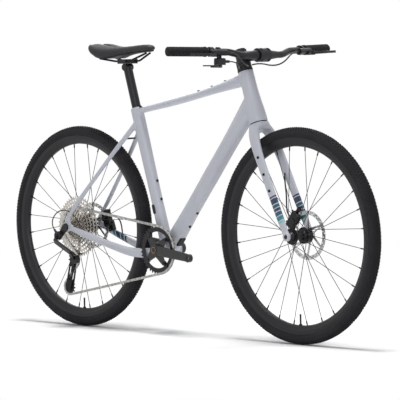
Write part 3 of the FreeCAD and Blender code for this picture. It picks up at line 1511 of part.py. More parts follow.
class ChainLine:
    """The closed way of the chain round its four wheels, in links."""

    def __init__(self, cage_turn):
        turn = math.radians(cage_turn)
        self.cage_axis = Vec(rear_axle.x + size.cage_axis_fore, 0, rear_axle.z - size.cage_axis_drop)

        def swing(back, drop):
            return self.cage_axis + Vec(-back * math.cos(turn) + drop * math.sin(turn), 0,
                                        -back * math.sin(turn) - drop * math.cos(turn))

        self.guide = swing(size.guide_back, size.guide_drop)
        self.tension = swing(size.guide_back + size.tension_back, size.guide_drop + size.tension_drop)
        inside = -cog_side(CHAIN_COG)
        self.wheels = [
            (bb, RING_TEETH, 1, -size.chainline),
            (rear_axle, COG_TEETH[CHAIN_COG], 1, inside),
            (self.guide, PULLEY_TEETH, -1, inside),
            (self.tension, PULLEY_TEETH, 1, inside),
        ]
        self.pieces = []
        self.links = 0.0
        self.phases = [0.0] * len(self.wheels)
        self.trace()

    def trace(self):
        """Work out the straight runs and the wraps."""
        count = len(self.wheels)
        runs = []
        for index in range(count):
            start, teeth, way, side = self.wheels[index]
            stop, next_teeth, next_way, next_side = self.wheels[(index + 1) % count]
            first = pitch_radius_of(teeth) * way
            second = pitch_radius_of(next_teeth) * next_way
            gap_x = stop.x - start.x
            gap_z = stop.z - start.z
            length = math.sqrt(gap_x ** 2 + gap_z ** 2 - (second - first) ** 2)
            heading = math.atan2(gap_z, gap_x) - math.atan2(second - first, length)
            right = (math.sin(heading), -math.cos(heading))
            leave = Vec(start.x + right[0] * first, side, start.z + right[1] * first)
            arrive = Vec(stop.x + right[0] * second, next_side, stop.z + right[1] * second)
            runs.append((leave, arrive, length))
        for index in range(count):
            leave, arrive, length = runs[index]
            self.pieces.append(("run", leave, arrive, length / size.chain_pitch))
            number = (index + 1) % count
            centre, teeth, way, side = self.wheels[number]
            departs = runs[number][0]
            begin = math.atan2(arrive.z - centre.z, arrive.x - centre.x)
            finish_angle = math.atan2(departs.z - centre.z, departs.x - centre.x)
            sweep = ((finish_angle - begin) * way) % (2 * math.pi)
            self.pieces.append(("wrap", number, begin, sweep * teeth / (2 * math.pi)))
        self.links = sum(piece[3] for piece in self.pieces)

    def rollers(self):
        """Return each roller's place and note the phase of each wheel's first valley."""
        places = []
        travelled = 0.0
        total = int(round(self.links))
        number = 0
        for kind, first, second, links in self.pieces:
            while number < total and number < travelled + links - 1e-9:
                part = number - travelled
                if kind == "run":
                    spot = first + (second - first) * (part / links)
                    lean = (part - CHAIN_STRAIGHT) / (links - 2 * CHAIN_STRAIGHT)
                    spot.y = first.y + (second.y - first.y) * min(max(lean, 0), 1)
                    places.append(spot)
                else:
                    centre, teeth, way, side = self.wheels[first]
                    angle = second + way * part * 2 * math.pi / teeth
                    reach = pitch_radius_of(teeth)
                    places.append(Vec(centre.x + math.cos(angle) * reach, side, centre.z + math.sin(angle) * reach))
                    self.phases[first] = angle
                number += 1
            travelled += links
        return places


def settle_chain():
    """Return the chain line whose cage angle makes the chain a whole, even number of links."""
    target = 2 * round(ChainLine(0).links / 2)
    low, high = -CAGE_TURN_LIMIT, CAGE_TURN_LIMIT
    rising = ChainLine(high).links > ChainLine(low).links
    for step in range(60):
        middle = (low + high) / 2
        if (ChainLine(middle).links < target) == rising:
            low = middle
        else:
            high = middle
    line = ChainLine(middle)
    print("chain links", line.links, "cage turn", round(middle, 3))
    return line


def make_chain(line):
    """Add the chain as separate inner and outer links round the four wheels."""
    places = line.rollers()
    count = len(places)
    solids = []
    for index, start in enumerate(places):
        stop = places[(index + 1) % count]
        run = stop - start
        outer = index % 2 == 0
        side = size.outer_plate_side if outer else size.inner_plate_side
        local = Vec(run.Length, 0, 0)
        plates = []
        for low in (side, -side - size.plate_thickness):
            plates.append(slot(Vec(0, 0, 0), size.plate_radius, local, size.plate_radius, low,
                               low + size.plate_thickness))
        radius = size.pin_radius if outer else size.roller_radius
        reach = side + size.plate_thickness if outer else side
        for centre in (Vec(0, 0, 0), local):
            plates.append(Part.makeCylinder(radius, reach * 2, centre - UP * reach, UP))
        link = plates[0].fuse(plates[1:])
        across = Vec(run).normalize()
        upward = LEFT.cross(across).normalize()
        link.Placement = axes_placement(start, across, upward)
        solids.append(link.Solids[0])
    shape_node("chain", Part.makeCompound(solids))
    print("chain solids", len(solids))


def make_cassette(line):
    """Add the freehub, the twelve sprockets with their spacers, and the lockring."""
    bore = size.freehub_radius + size.fit_gap
    windows = 6
    half_arm_share = 0.55
    solids = []
    for index, teeth in enumerate(COG_TEETH):
        phase = line.phases[1] if index == CHAIN_COG else math.pi * index / len(COG_TEETH)
        wires = [sprocket_wire(teeth, phase), circle_wire(bore)]
        web_in = size.spacer_ring_radius + size.spoke_head_radius
        web_out = pitch_radius_of(teeth) - size.cog_rim
        if web_out - web_in > size.cog_rim / 2:
            for number in range(windows):
                middle = 2 * math.pi * (number + index / len(COG_TEETH)) / windows
                wires.append(window(web_in, web_out, middle, size.cog_rim * half_arm_share, windows))
        solids.append(flat_wheel(wires, rear_axle, -cog_side(index), size.cog_thickness))
        if index + 1 < len(COG_TEETH):
            gap = size.cog_pitch - size.cog_thickness - 2 * size.fit_gap
            middle = -(cog_side(index) + cog_side(index + 1)) / 2
            rims = [circle_wire(size.spacer_ring_radius), circle_wire(bore)]
            solids.append(flat_wheel(rims, rear_axle, middle, gap))
    last = cog_side(len(COG_TEETH) - 1) + size.cog_thickness / 2 + size.fit_gap
    lock = [circle_wire(size.spacer_ring_radius - size.fit_gap), circle_wire(bore)]
    solids.append(flat_wheel(lock, rear_axle, -last - size.cog_thickness / 2, size.cog_thickness))
    shape_node("cassette", Part.makeCompound(solids))
    inner = cell.axle_radius + cell.fit_gap * 2
    start = -(cell.rear_right_flange + cell.flange_thickness * 2 + cell.part_gap)
    stop = -(cell.first_cog_side + cell.cog_pitch * (len(COG_TEETH) - 1) + cell.cog_thickness * 2)
    cap = -(cell.rear_hub_width / 2 - cell.seat_gap * 3)
    freehub = turned("freehub", [
        (inner, start), (cell.freehub_radius, start), (cell.freehub_radius, stop), (cell.hub_cap_radius, stop),
        (cell.hub_cap_radius, cap), (inner, cap),
    ], FreeCAD.Placement(rear_axle, FreeCAD.Rotation()))
    add_node("freehub", freehub)


def make_crank(line):
    """Add the bottom bracket cups, crank arms, axle and chainring."""
    bore = cell.crank_axle_radius + cell.fit_gap
    cups = []
    for name, side in (("right_cup", -1), ("left_cup", 1)):
        way = LEFT * side
        start = bb + way * (size.bb_shell_half - size.cup_depth)
        sleeve = ring(name + "_sleeve", bore, cell.bb_bore_radius - cell.fit_gap, cell.cup_depth + cell.seat_gap,
                      start, way)
        flange = ring(name + "_flange", bore, cell.cup_flange_radius, cell.cup_flange_height,
                      bb + way * (size.bb_shell_half + size.seat_gap), way)
        cups.append(fuse(name, [sleeve, flange]))
    add_node("bottom_bracket_cups", group_of("bottom_bracket_cups", cups))
    lean = math.radians(size.crank_angle)
    reach = Vec(math.cos(lean), 0, math.sin(lean))

    def arm(way, inner, sign):
        pedal = bb + way * size.crank_length
        upward = LEFT.cross(way)
        boss = side_disc(bb, size.crank_boss_radius, *sorted((sign * inner, sign * size.crank_outer)))
        eye = side_disc(pedal, size.crank_end_radius,
                        *sorted((sign * size.crank_end_inner, sign * size.crank_end_outer)))
        stations = []
        arm_shares = (0.0, 0.35, 0.7, 1.0)
        beam_share = 0.93
        for share in arm_shares:
            low = inner + (size.crank_end_inner - inner) * share
            high = size.crank_outer + (size.crank_end_outer - size.crank_outer) * share
            centre = bb + way * (size.crank_length * share) + LEFT * (sign * (low + high) / 2)
            wide = size.crank_mid_width + (size.crank_tip_width - size.crank_mid_width) * share
            stations.append((centre, upward, LEFT, wide / 2, (high - low) / 2 * beam_share))
        beam = tube_through(stations, fullness=3)
        far = size.crank_end_outer + size.cut_overrun
        hole = side_disc(pedal, size.pedal_thread_radius, *sorted((sign * inner, sign * far)))
        return boss.fuse([eye, beam]).cut(hole)

    right = arm(reach, size.crank_inner, -1)
    axle = side_disc(bb, size.crank_axle_radius, -size.crank_outer, size.crank_outer - size.cup_flange_height)
    cap = side_disc(bb, size.axle_cap_radius, -size.crank_outer - size.axle_cap_height, -size.crank_outer)
    spider = []
    for index in range(SPIDER_ARMS):
        angle = lean + math.pi / 4 + 2 * math.pi * index / SPIDER_ARMS
        tip = bb + Vec(math.cos(angle), 0, math.sin(angle)) * size.spider_radius
        spider.append(side_bar(bb, size.crank_boss_radius, tip, size.spider_arm_radius,
                               -size.crank_inner - size.spider_thickness, -size.crank_inner))
    whole = right.fuse([axle, cap] + spider)
    shape_node("crank_arm_right", max(whole.Solids, key=lambda item: item.Volume))
    left = arm(reach * -1, size.left_crank_inner, 1)
    far = size.crank_outer + size.cut_overrun
    left = left.cut(side_disc(bb, size.crank_axle_radius + size.fit_gap, size.left_crank_inner - size.cut_overrun, far))
    shape_node("crank_arm_left", max(left.Solids, key=lambda item: item.Volume))
    low = -size.chainline + size.ring_thickness / 2
    wires = [sprocket_wire(RING_TEETH, line.phases[0]), circle_wire(size.ring_inner_radius)]
    teeth = flat_wheel(wires, bb, -size.chainline, size.ring_thickness)
    tabs = []
    bolts = []
    seat = -size.crank_inner + size.seat_gap
    for index in range(SPIDER_ARMS):
        angle = lean + math.pi / 4 + 2 * math.pi * index / SPIDER_ARMS
        way = Vec(math.cos(angle), 0, math.sin(angle))
        tip = bb + way * size.spider_radius
        root = bb + way * (size.ring_inner_radius + size.spider_arm_radius / 2)
        tabs.append(side_bar(tip, size.spider_arm_radius, root, size.spider_arm_radius, seat, low))
        bolts.append(side_disc(tip, size.ring_bolt_radius, low + size.seat_gap,
                               low + size.seat_gap + size.ring_bolt_height))
        out = -size.crank_inner - size.spider_thickness - size.seat_gap
        bolts.append(side_disc(tip, size.ring_bolt_radius, out - size.ring_bolt_height, out))
    chainring = teeth.fuse(tabs)
    shape_node("chainring", Part.makeCompound([chainring.Solids[0]] + bolts))


def make_derailleur(line):
    """Add the hanger, the derailleur's body, links, lower knuckle, cage and pulleys."""
    inside = -cog_side(CHAIN_COG)
    hang_in = -dropout_outer - size.seat_gap
    hang_out = hang_in - size.hanger_thickness
    bolt_spot = rear_axle + Vec(-size.hanger_back, 0, -size.hanger_drop)
    hanger = side_bar(rear_axle, size.hanger_eye_radius, bolt_spot, size.hanger_bolt_radius, hang_out, hang_in)
    bolt_radius = size.hanger_thread_radius + size.fit_gap
    bore_out = hang_out - size.cut_overrun
    bore_in = hang_in + size.cut_overrun
    hanger = hanger.cut([side_disc(rear_axle, size.axle_radius + size.fit_gap, bore_out, bore_in),
                         side_disc(bolt_spot, bolt_radius, bore_out, bore_in)])
    shape_node("derailleur_hanger", hanger.Solids[0])
    boss_in = hang_out - size.seat_gap
    boss_out = boss_in - size.body_boss_length
    knuckle_in = inside - size.cage_outer_side - size.cage_plate_thickness - size.part_gap
    knuckle_out = knuckle_in - size.knuckle_length
    upper = bolt_spot + Vec(-size.link_back, (boss_in + boss_out) / 2, -size.link_drop)
    lower = line.cage_axis + Vec(size.knuckle_ear_fore, knuckle_out - size.link_thickness, size.knuckle_ear_rise)
    run = lower - upper
    way = Vec(run).normalize()
    slant = Vec(-size.slant_back_share, size.slant_in_share, -size.slant_down_share)
    slant = (slant - way * slant.dot(way)).normalize()
    axis = way.cross(slant).normalize()
    across = axis.cross(way)
    print("link axis", [round(value, 4) for value in axis], "upper", upper, "lower", lower)
    half = size.link_thickness / 2
    local_place = axes_placement(upper, way, across)

    def stand(shape):
        shape.Placement = local_place.multiply(shape.Placement)
        return shape

    origin = Vec(0, 0, 0)
    far = Vec(run.Length, 0, 0)
    spread = Vec(0, -size.link_spread, 0)
    pin_hole = size.link_pin_radius + size.fit_gap
    reach = half + size.cut_overrun

    def link(offset, cover):
        bar = slot(origin + offset, size.link_eye_radius, far + offset, size.link_eye_radius, -half, half)
        if cover.Length > 0:
            bar = bar.fuse(slot(origin + offset + cover, size.link_eye_radius, far + offset + cover,
                                size.link_eye_radius, -half, half)).removeSplitter()
        holes = [Part.makeCylinder(pin_hole, reach * 2, end + offset - UP * reach, UP) for end in (origin, far)]
        return stand(bar.cut(holes))

    shape_node("derailleur_inner_link", link(origin, origin))
    shape_node("derailleur_outer_link", link(spread, Vec(0, -size.link_cover_depth, 0)))
    ear_low = half + size.part_gap
    ear_high = ear_low + size.ear_thickness

    def ear(end, side, parent):
        root = local_place.inverse().multVec(parent)
        flat_root = Vec(root.x, root.y, 0)
        low, high = sorted((side * ear_low, side * ear_high))
        pieces = []
        for offset in (origin, spread):
            pieces.append(slot(end + offset, size.link_eye_radius, flat_root, size.link_eye_radius, low, high))
            base = end + offset - UP * (side * half)
            length = size.link_thickness + size.part_gap * 2
            pieces.append(Part.makeCylinder(size.link_pin_radius, length, base, UP * side))
        post_base = flat_root + UP * (side * ear_low)
        post = root - post_base
        if post.dot(UP * side) < size.ear_thickness:
            post_base = flat_root + UP * (side * ear_high)
            post = root - post_base
        pieces.append(Part.makeCylinder(size.ear_post_radius, post.Length, post_base, post))
        return stand(pieces[0].fuse(pieces[1:]))

    def strut(start, stop, radius):
        return Part.makeCylinder(radius, (stop - start).Length, start, stop - start)

    boss = side_disc(bolt_spot, size.body_boss_radius, boss_out, boss_in)
    stud = side_disc(bolt_spot, size.hanger_thread_radius, boss_in, hang_in - size.seat_gap)
    boss_middle = bolt_spot + LEFT * ((boss_in + boss_out) / 2)
    barrel_tilt = math.radians(size.barrel_angle)
    barrel_way = Vec(-math.cos(barrel_tilt), 0, math.sin(barrel_tilt))
    barrel_end = boss_middle + barrel_way * size.barrel_reach
    body = boss.fuse([stud, ear(origin, 1, boss_middle), strut(boss_middle, barrel_end, size.barrel_radius)])
    body = body.cut(side_disc(bolt_spot, size.body_bolt_radius + size.part_gap, boss_out - run.Length, boss_out))
    shape_node("derailleur_body", max(body.Solids, key=lambda item: item.Volume))
    face = side_disc(bolt_spot, size.body_bolt_radius, boss_out - size.seat_gap - size.body_bolt_height,
                     boss_out - size.seat_gap)
    knuckle = side_disc(line.cage_axis, size.knuckle_radius, knuckle_out, knuckle_in)
    knuckle_middle = line.cage_axis + LEFT * ((knuckle_in + knuckle_out) / 2)
    knuckle = knuckle.fuse(ear(far, -1, knuckle_middle))
    shaft_share = 0.6
    shaft_depth = size.knuckle_length * shaft_share
    knuckle = knuckle.cut(side_disc(line.cage_axis, size.cage_shaft_radius + size.fit_gap,
                                    knuckle_in - shaft_depth - size.part_gap, knuckle_in + size.cut_overrun))
    shape_node("derailleur_knuckle", max(knuckle.Solids, key=lambda item: item.Volume))
    outer_face = inside - size.cage_outer_side
    outer_back = outer_face - size.cage_plate_thickness
    inner_face = inside + size.cage_inner_side
    inner_back = inner_face + size.cage_plate_thickness
    plates = [
        side_bar(line.guide, size.cage_top_radius, line.tension, size.cage_low_radius, outer_back, outer_face),
        side_bar(line.cage_axis, size.cage_top_radius, line.guide, size.cage_top_radius, outer_back, outer_face),
        side_bar(line.guide, size.cage_top_radius, line.tension, size.cage_low_radius, inner_face, inner_back),
        side_disc(line.guide, size.pulley_bolt_radius, outer_back, inner_back),
        side_disc(line.tension, size.pulley_bolt_radius, outer_back, inner_back),
        side_disc(line.cage_axis, size.cage_shaft_radius, knuckle_in - shaft_depth, outer_face),
    ]
    cage = plates[0].fuse(plates[1:])
    slit_shares = (0.3, 0.68)
    first = line.guide + (line.tension - line.guide) * slit_shares[0]
    second = line.guide + (line.tension - line.guide) * slit_shares[1]
    slit = side_bar(first, size.cage_top_radius / 2, second, size.cage_top_radius / 2,
                    outer_back - size.cut_overrun, inner_back + size.cut_overrun)
    cage = cage.cut(slit)
    shape_node("derailleur_cage", max(cage.Solids, key=lambda item: item.Volume))
    pulley_bore = size.pulley_bolt_radius + size.fit_gap
    for name, centre, phase in (("guide_pulley", line.guide, line.phases[2]),
                                ("tension_pulley", line.tension, line.phases[3])):
        wires = [sprocket_wire(PULLEY_TEETH, phase), circle_wire(pulley_bore)]
        disc = flat_wheel(wires, centre, inside, size.pulley_thickness)
        sleeve_half = size.cage_inner_side - size.part_gap
        sleeve = side_disc(centre, size.pulley_hub_radius, inside - sleeve_half, inside + sleeve_half)
        bore_half = sleeve_half + size.cut_overrun
        sleeve = sleeve.cut(side_disc(centre, pulley_bore, inside - bore_half, inside + bore_half))
        shape_node(name, disc.fuse(sleeve).Solids[0])
    return hang_out, face, barrel_end, barrel_way


def make_axles(hang_out):
    """Add the two thru-axles."""
    tip = size.front_hub_width / 2 + size.fork_tip_thickness
    shaft = cylinder("front_axle_shaft", cell.axle_radius, cell.front_hub_width + cell.fork_tip_thickness * 2,
                     front_axle - LEFT * tip, LEFT)
    head = cylinder("front_axle_head", cell.front_axle_head_radius, cell.front_axle_head_length,
                    front_axle + LEFT * (tip + size.seat_gap), LEFT)
    neck = cylinder("front_axle_neck", cell.axle_radius, cell.seat_gap * 2, front_axle + LEFT * tip, LEFT)
    add_node("front_thru_axle", fuse("front_thru_axle", [shaft, neck, head]))
    half = dropout_outer
    length = cell.rear_hub_width + cell.dropout_thickness * 2 + cell.hanger_thickness + cell.seat_gap * 2
    start = rear_axle + LEFT * hang_out
    shaft = cylinder("rear_axle_shaft", cell.axle_radius, length, start, LEFT)
    head = cylinder("rear_axle_head", cell.front_axle_head_radius, cell.front_axle_head_length,
                    rear_axle + LEFT * (half + size.seat_gap), LEFT)
    neck = cylinder("rear_axle_neck", cell.axle_radius, cell.seat_gap * 2, rear_axle + LEFT * half, LEFT)
    add_node("rear_thru_axle", fuse("rear_thru_axle", [shaft, neck, head]))


def make_seatpost():
    """Add the seatpost, its clamp and wedge; return the head's centre."""
    start = size.seat_tube_length - size.post_insert
    head = seat_point(size.seat_tube_length + size.post_exposed)
    tube = ring("post_tube", cell.post_radius - cell.post_wall, cell.post_radius,
                cell.post_insert + cell.post_exposed, seat_point(start), seat_up)
    yoke = cylinder("post_yoke", cell.post_head_radius, cell.post_head_length,
                    head - LEFT * (size.post_head_length / 2), LEFT)
    add_node("seatpost", fuse("seatpost", [tube, yoke]))
    post = Part.makeCylinder(size.post_radius + size.seat_gap, size.post_insert + size.post_exposed,
                             seat_point(start), seat_up)
    wedge = wedge_box(size.seat_gap, 0).cut(post)
    seat = seat_point(size.seat_tube_length + size.seat_gap, size.post_radius + size.wedge_length / 2)
    screw = Part.makeCylinder(size.wedge_bolt_radius, size.bolt_head_height, seat, seat_up)
    shape_node("seat_clamp_wedge", Part.makeCompound([max(wedge.Solids, key=lambda item: item.Volume), screw]))
    return head


# Saddle stations: place from nose to tail, half width, top and underside, channel depth, each a
# share of the saddle's own length, half width and height.
SADDLE_SHARES = ((0.0, 0.1, 0.68, 0.56, 0.0), (0.04, 0.22, 0.8, 0.46, 0.01), (0.14, 0.28, 0.86, 0.4, 0.05),
                 (0.3, 0.32, 0.81, 0.34, 0.1), (0.45, 0.41, 0.76, 0.25, 0.13), (0.6, 0.63, 0.75, 0.12, 0.14),
                 (0.75, 0.88, 0.82, 0.0, 0.15), (0.88, 1.0, 0.94, 0.14, 0.17), (0.96, 0.93, 1.0, 0.4, 0.18),
                 (1.0, 0.74, 0.98, 0.6, 0.16))
# Corners of a saddle section: place across as a share of its half width, level as a share of its height.
SADDLE_CORNERS = ((-0.8, 0.0), (-1.0, 0.42), (-0.74, 0.88), (-0.42, 1.0), (-0.15, 0.97), (0.0, 0.97),
                  (0.15, 0.97), (0.42, 1.0), (0.74, 0.88), (1.0, 0.42), (0.8, 0.0))
SADDLE_MIDDLE = 5
SADDLE_SHELL_SHARE = 0.76


def saddle_low_share(place):
    """Return the underside's share of the saddle's height at a place from nose to tail."""
    for first, second in zip(SADDLE_SHARES, SADDLE_SHARES[1:]):
        if first[0] <= place <= second[0]:
            blend = (place - first[0]) / (second[0] - first[0])
            return first[3] + (second[3] - first[3]) * blend
    return SADDLE_SHARES[-1][3]


def make_saddle(head):
    """Add the rails, base shell, padded cover and the clamp that holds the rails."""
    nose = head.x + size.saddle_nose_fore
    floor = head.z + size.saddle_rise
    covers = []
    bases = []
    for share, half_share, top_share, low_share, channel_share in SADDLE_SHARES:
        x = nose - size.saddle_length * share
        half = size.saddle_width / 2 * half_share
        low = floor + size.saddle_height * low_share
        top = floor + size.saddle_height * top_share
        tall = top - low
        channel = size.saddle_height * channel_share

        def spot(side_share, level):
            return Vec(x, half * side_share, level)

        edges = []
        points = [spot(across, low + tall * rise) for across, rise in SADDLE_CORNERS]
        points[SADDLE_MIDDLE].z += -channel if channel > 0 else size.seat_gap
        for index in range(0, len(points) - 1, 2):
            edges.append(Part.Arc(points[index], points[index + 1], points[index + 2]).toShape())
        edges.append(Part.LineSegment(points[-1], points[0]).toShape())
        covers.append(Part.Wire(edges))
        if 0 < share < 1:
            upper = low - size.seat_gap
            lower = upper - size.saddle_shell
            edge = SADDLE_SHELL_SHARE
            plate = [spot(-edge, lower), spot(edge, lower), spot(edge, upper), spot(-edge, upper)]
            bases.append(Part.makePolygon(plate + plate[:1]))
    cover = Part.makeLoft(covers, True, False)
    print("saddle cover", cover.isValid(), round(cover.Volume))
    shape_node("saddle_cover", cover)
    level = head.z + size.post_head_radius + size.rail_level
    rails = []
    sockets = []
    rear_share = 0.86
    front_share = 0.1
    front_spread_share = 0.4
    rear_spread_share = 1.7
    drop = size.saddle_shell + size.rail_radius + size.part_gap * 3
    front_low = floor + size.saddle_height * saddle_low_share(front_share) - drop
    rear_low = floor + size.saddle_height * saddle_low_share(rear_share) - drop
    for side in (-1, 1):
        half_run = size.rail_straight / 2
        points = [
            Vec(nose - size.saddle_length * front_share, side * size.rail_half * front_spread_share, front_low),
            Vec(head.x + half_run, side * size.rail_half, level),
            Vec(head.x - half_run, side * size.rail_half, level),
            Vec(nose - size.saddle_length * rear_share, side * size.rail_half * rear_spread_share, rear_low),
        ]
        route = arc_route(points, [size.rail_bend] * 2)
        rails.append(swept(route, size.rail_radius))
        sockets.append(swept(route, size.rail_radius + size.seat_gap))
    shape_node("saddle_rails", Part.makeCompound(rails))
    base = Part.makeLoft(bases, True, False).cut([cover] + sockets)
    shape_node("saddle_base", max(base.Solids, key=lambda item: item.Volume))
    half_length = size.cradle_length / 2
    solids = []
    width = size.rail_half + size.cradle_radius
    groove = size.rail_radius + size.fit_gap
    tools = [Part.makeCylinder(groove, size.cradle_length * 2,
                               Vec(head.x - size.cradle_length, side * size.rail_half, level), FORE)
             for side in (-1, 1)]
    lower_box = Part.makeBox(size.cradle_length, width * 2, size.rail_level - size.seat_gap,
                             Vec(head.x - half_length, -width, head.z + size.post_head_radius + size.seat_gap))
    solids.append(lower_box.cut(tools).Solids[0])
    for side in (-1, 1):
        start = side * size.rail_half - size.cradle_radius
        box = Part.makeBox(size.cradle_length, size.cradle_radius * 2, size.cradle_radius,
                           Vec(head.x - half_length, start, level + size.seat_gap))
        solids.append(box.cut(tools).Solids[0])
    shape_node("saddle_clamp", Part.makeCompound(solids))


def make_hoses(hose_start, cable_start, bar_way, bar_centre, barrel_end, barrel_way):
    """Add the brake hoses and the shift cable along their held routes."""
    def port(rise, turn, reach):
        angle = math.radians(turn)
        way = steer_fore * math.cos(angle) + LEFT * math.sin(angle)
        return steer_point(head_top + rise) + way * (size.head_top_radius + size.part_gap + reach)

    def over(point):
        return Vec(point.x, -point.y, point.z)

    def caliper_port(axle, rotor_side, angle):
        heading = math.radians(angle)
        radial = Vec(math.cos(heading), 0, math.sin(heading))
        return axle + radial * (size.caliper_outer_radius + size.part_gap) + LEFT * rotor_side, radial

    rear_route = [
        hose_start,
        hose_start - bar_way * 30,
        Vec(bar_centre.x + 8, -92, bar_centre.z - 27),
        Vec(bar_centre.x - 6, -55, bar_centre.z - 37),
        port(15, -42, 26),
        port(15, -42, 0),
    ]
    shape_node("rear_brake_hose_front", hose("rear_brake_hose_front", rear_route, size.hose_radius))
    front_route = [over(point) for point in rear_route]
    upper = hose("front_brake_hose", front_route, size.hose_radius)
    spot, radial = caliper_port(front_axle, size.front_rotor_side, size.front_caliper_angle)
    leg_route = [
        front_axle + Vec(-101, 40.6, 199),
        front_axle + Vec(-97, 39.4, 168),
        front_axle + Vec(-91, 39.0, 128),
        front_axle + Vec(-92, 39.2, 92),
        spot + radial * 17,
        spot,
    ]
    lower = hose("front_brake_hose_leg", leg_route, size.hose_radius)
    shape_node("front_brake_hose", Part.makeCompound([upper, lower]))
    spot, radial = caliper_port(rear_axle, size.rear_rotor_side, size.rear_caliper_angle)
    stay_route = [
        rear_axle + Vec(141, 60, -24),
        rear_axle + Vec(140, 58.5, 4),
        rear_axle + Vec(130, 55.5, 27),
        spot + radial * 20,
        spot,
    ]
    shape_node("rear_brake_hose", hose("rear_brake_hose", stay_route, size.hose_radius))
    cable = [
        cable_start,
        cable_start - bar_way * 28,
        Vec(bar_centre.x - 22, -80, bar_centre.z - 44),
        port(7, -66, 28),
        port(7, -66, 0),
    ]
    shape_node("shift_cable_front", hose("shift_cable_front", cable, size.cable_radius))
    tip = barrel_end + barrel_way * size.part_gap
    loop = [
        rear_axle + Vec(67, -66, -2),
        rear_axle + Vec(50, -63.5, 22),
        rear_axle + Vec(21, -63, 47),
        rear_axle + Vec(-13, -69, 61),
        rear_axle + Vec(-44, -79, 53),
        rear_axle + Vec(-61, -87, 27),
        tip + barrel_way * 15,
        tip,
    ]
    shape_node("shift_cable_rear", hose("shift_cable_rear", loop, size.cable_radius))


def make_trim():
    """Add the mech mount cover, the port cover and the bridge between the seatstays."""
    side = seat_tube_half(size.mech_cover_seat)
    centre = seat_point(size.mech_cover_seat, -size.mech_cover_back, 0)
    half = size.mech_cover_length / 2
    start = centre - seat_up * half
    stop = centre + seat_up * half
    cover = side_bar(start, size.mech_cover_radius, stop, size.mech_cover_radius,
                     -side - size.mech_cover_height, -side + size.mech_cover_height)
    tube = doc.getObject("frame").Shape
    cover = max(cover.cut(tube).Solids, key=lambda item: item.Volume)
    down_start = steer_point(size.down_tube_seat)
    down_stop = bb + Vec(size.down_tube_fore, 0, -size.down_tube_sink)
    run = down_stop - down_start
    way = Vec(run).normalize()
    under = LEFT.cross(way)
    if under.z > 0:
        under = under * -1
    spot = down_start + run * size.port_cover_share
    length = size.port_cover_length
    depth = size.down_tube_height
    box = Part.makeBox(length, size.port_cover_width, depth)
    box = box.makeFillet(size.port_cover_height, box.Edges).Solids[0]
    box.Placement = axes_placement(spot - way * (length / 2) - LEFT * (size.port_cover_width / 2)
                                   + under * (size.down_tube_height / 2 + size.port_cover_height - depth), way, LEFT)
    if box.CenterOfMass.sub(spot).dot(under) > size.down_tube_height / 2:
        box.translate(under * -depth)
    shell = side_disc(bb, size.bb_shell_radius + size.part_gap, -size.bb_shell_half, size.bb_shell_half)
    port = box.cut([tube, shell]).Solids
    port = max(port, key=lambda item: item.CenterOfMass.sub(spot).dot(under))
    top = seat_point(size.seatstay_seat, 0, -size.seatstay_top_out)
    foot = stay_head + LEFT * -dropout_mid
    middle = top + (foot - top) * size.bridge_share
    reach = -dropout_mid
    bar = side_disc(middle, size.bridge_radius, reach, -reach)
    bridge = bar.cut(tube).Solids
    bridge = min(bridge, key=lambda item: abs(item.CenterOfMass.y))
    print("trim", round(cover.Volume), round(port.Volume), round(bridge.Volume))
    shape_node("frame_trim", Part.makeCompound([cover, port, bridge]))


def seat_tube_half(rise):
    """Return half the seat tube's width at a height on it."""
    share = rise / size.seat_tube_length
    for first, second in zip(SEAT_TUBE_SHARES, SEAT_TUBE_SHARES[1:]):
        if first[0] <= share <= second[0]:
            blend = (share - first[0]) / (second[0] - first[0])
            return size.seat_tube_width / 2 * (first[1] + (second[1] - first[1]) * blend)
    return size.seat_tube_width / 2


def finish():
    """Recompute, test every object and write one file for each sub-part."""
    doc.recompute()
    for obj in doc.Objects:
        if "Invalid" in obj.State or "Error" in obj.State:
            raise RuntimeError(f"{obj.Label} failed: {obj.State}")
    for label, obj in nodes.items():
        if obj.Shape.isNull() or not obj.Shape.isValid():
            raise RuntimeError(f"{label} has no valid shape")
    os.makedirs("parts", exist_ok=True)
    for label, obj in nodes.items():
        obj.Shape.exportStep(f"parts/{label}.step")
    print(len(nodes), "sub-parts")


make_wheel("front", front_axle, cell.front_hub_width, cell.front_right_flange, cell.front_left_flange,
           cell.front_rotor_side)
make_wheel("rear", rear_axle, cell.rear_hub_width, cell.rear_right_flange, cell.rear_left_flange,
           cell.rear_rotor_side, cell.rear_right_flange + cell.flange_thickness * 2)
frame_bolts = make_frame()
make_caliper("rear", rear_axle, size.rear_rotor_side, size.rear_caliper_angle, nodes["frame"].Shape)
stack_top = make_headset()
steering_bolts = make_fork(stack_top + size.stem_clamp_height)
make_caliper("front", front_axle, size.front_rotor_side, size.front_caliper_angle, nodes["fork"].Shape)
bar_middle, stem_bolts = make_stem(stack_top)
shape_node("steering_bolts", Part.makeCompound(steering_bolts + stem_bolts))
bar_end, bar_out, bar_fore = make_bar(bar_middle)
hose_base, cable_base = make_controls(bar_end, bar_out, bar_fore)
chain_line = settle_chain()
make_chain(chain_line)
make_cassette(chain_line)
make_crank(chain_line)
hanger_face, body_bolt, barrel_tip, barrel_heading = make_derailleur(chain_line)
shape_node("frame_bolts", Part.makeCompound(frame_bolts + [body_bolt]))
make_trim()
make_axles(hanger_face)
post_head = make_seatpost()
make_saddle(post_head)
make_hoses(hose_base, cable_base, bar_out, bar_middle, barrel_tip, barrel_heading)
finish()
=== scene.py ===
"""Looks of a flat-bar gravel bicycle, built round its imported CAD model.

Sizes are in metres and in the model's own frame: +X forward, +Y to the rider's left, +Z up.
Each sub-assembly is a class that builds its pieces and dresses them.
"""

from __future__ import annotations

import logging
import math
from dataclasses import dataclass, field
from enum import Enum
from typing import Any, Sequence

import bpy
from mathutils import Matrix, Vector

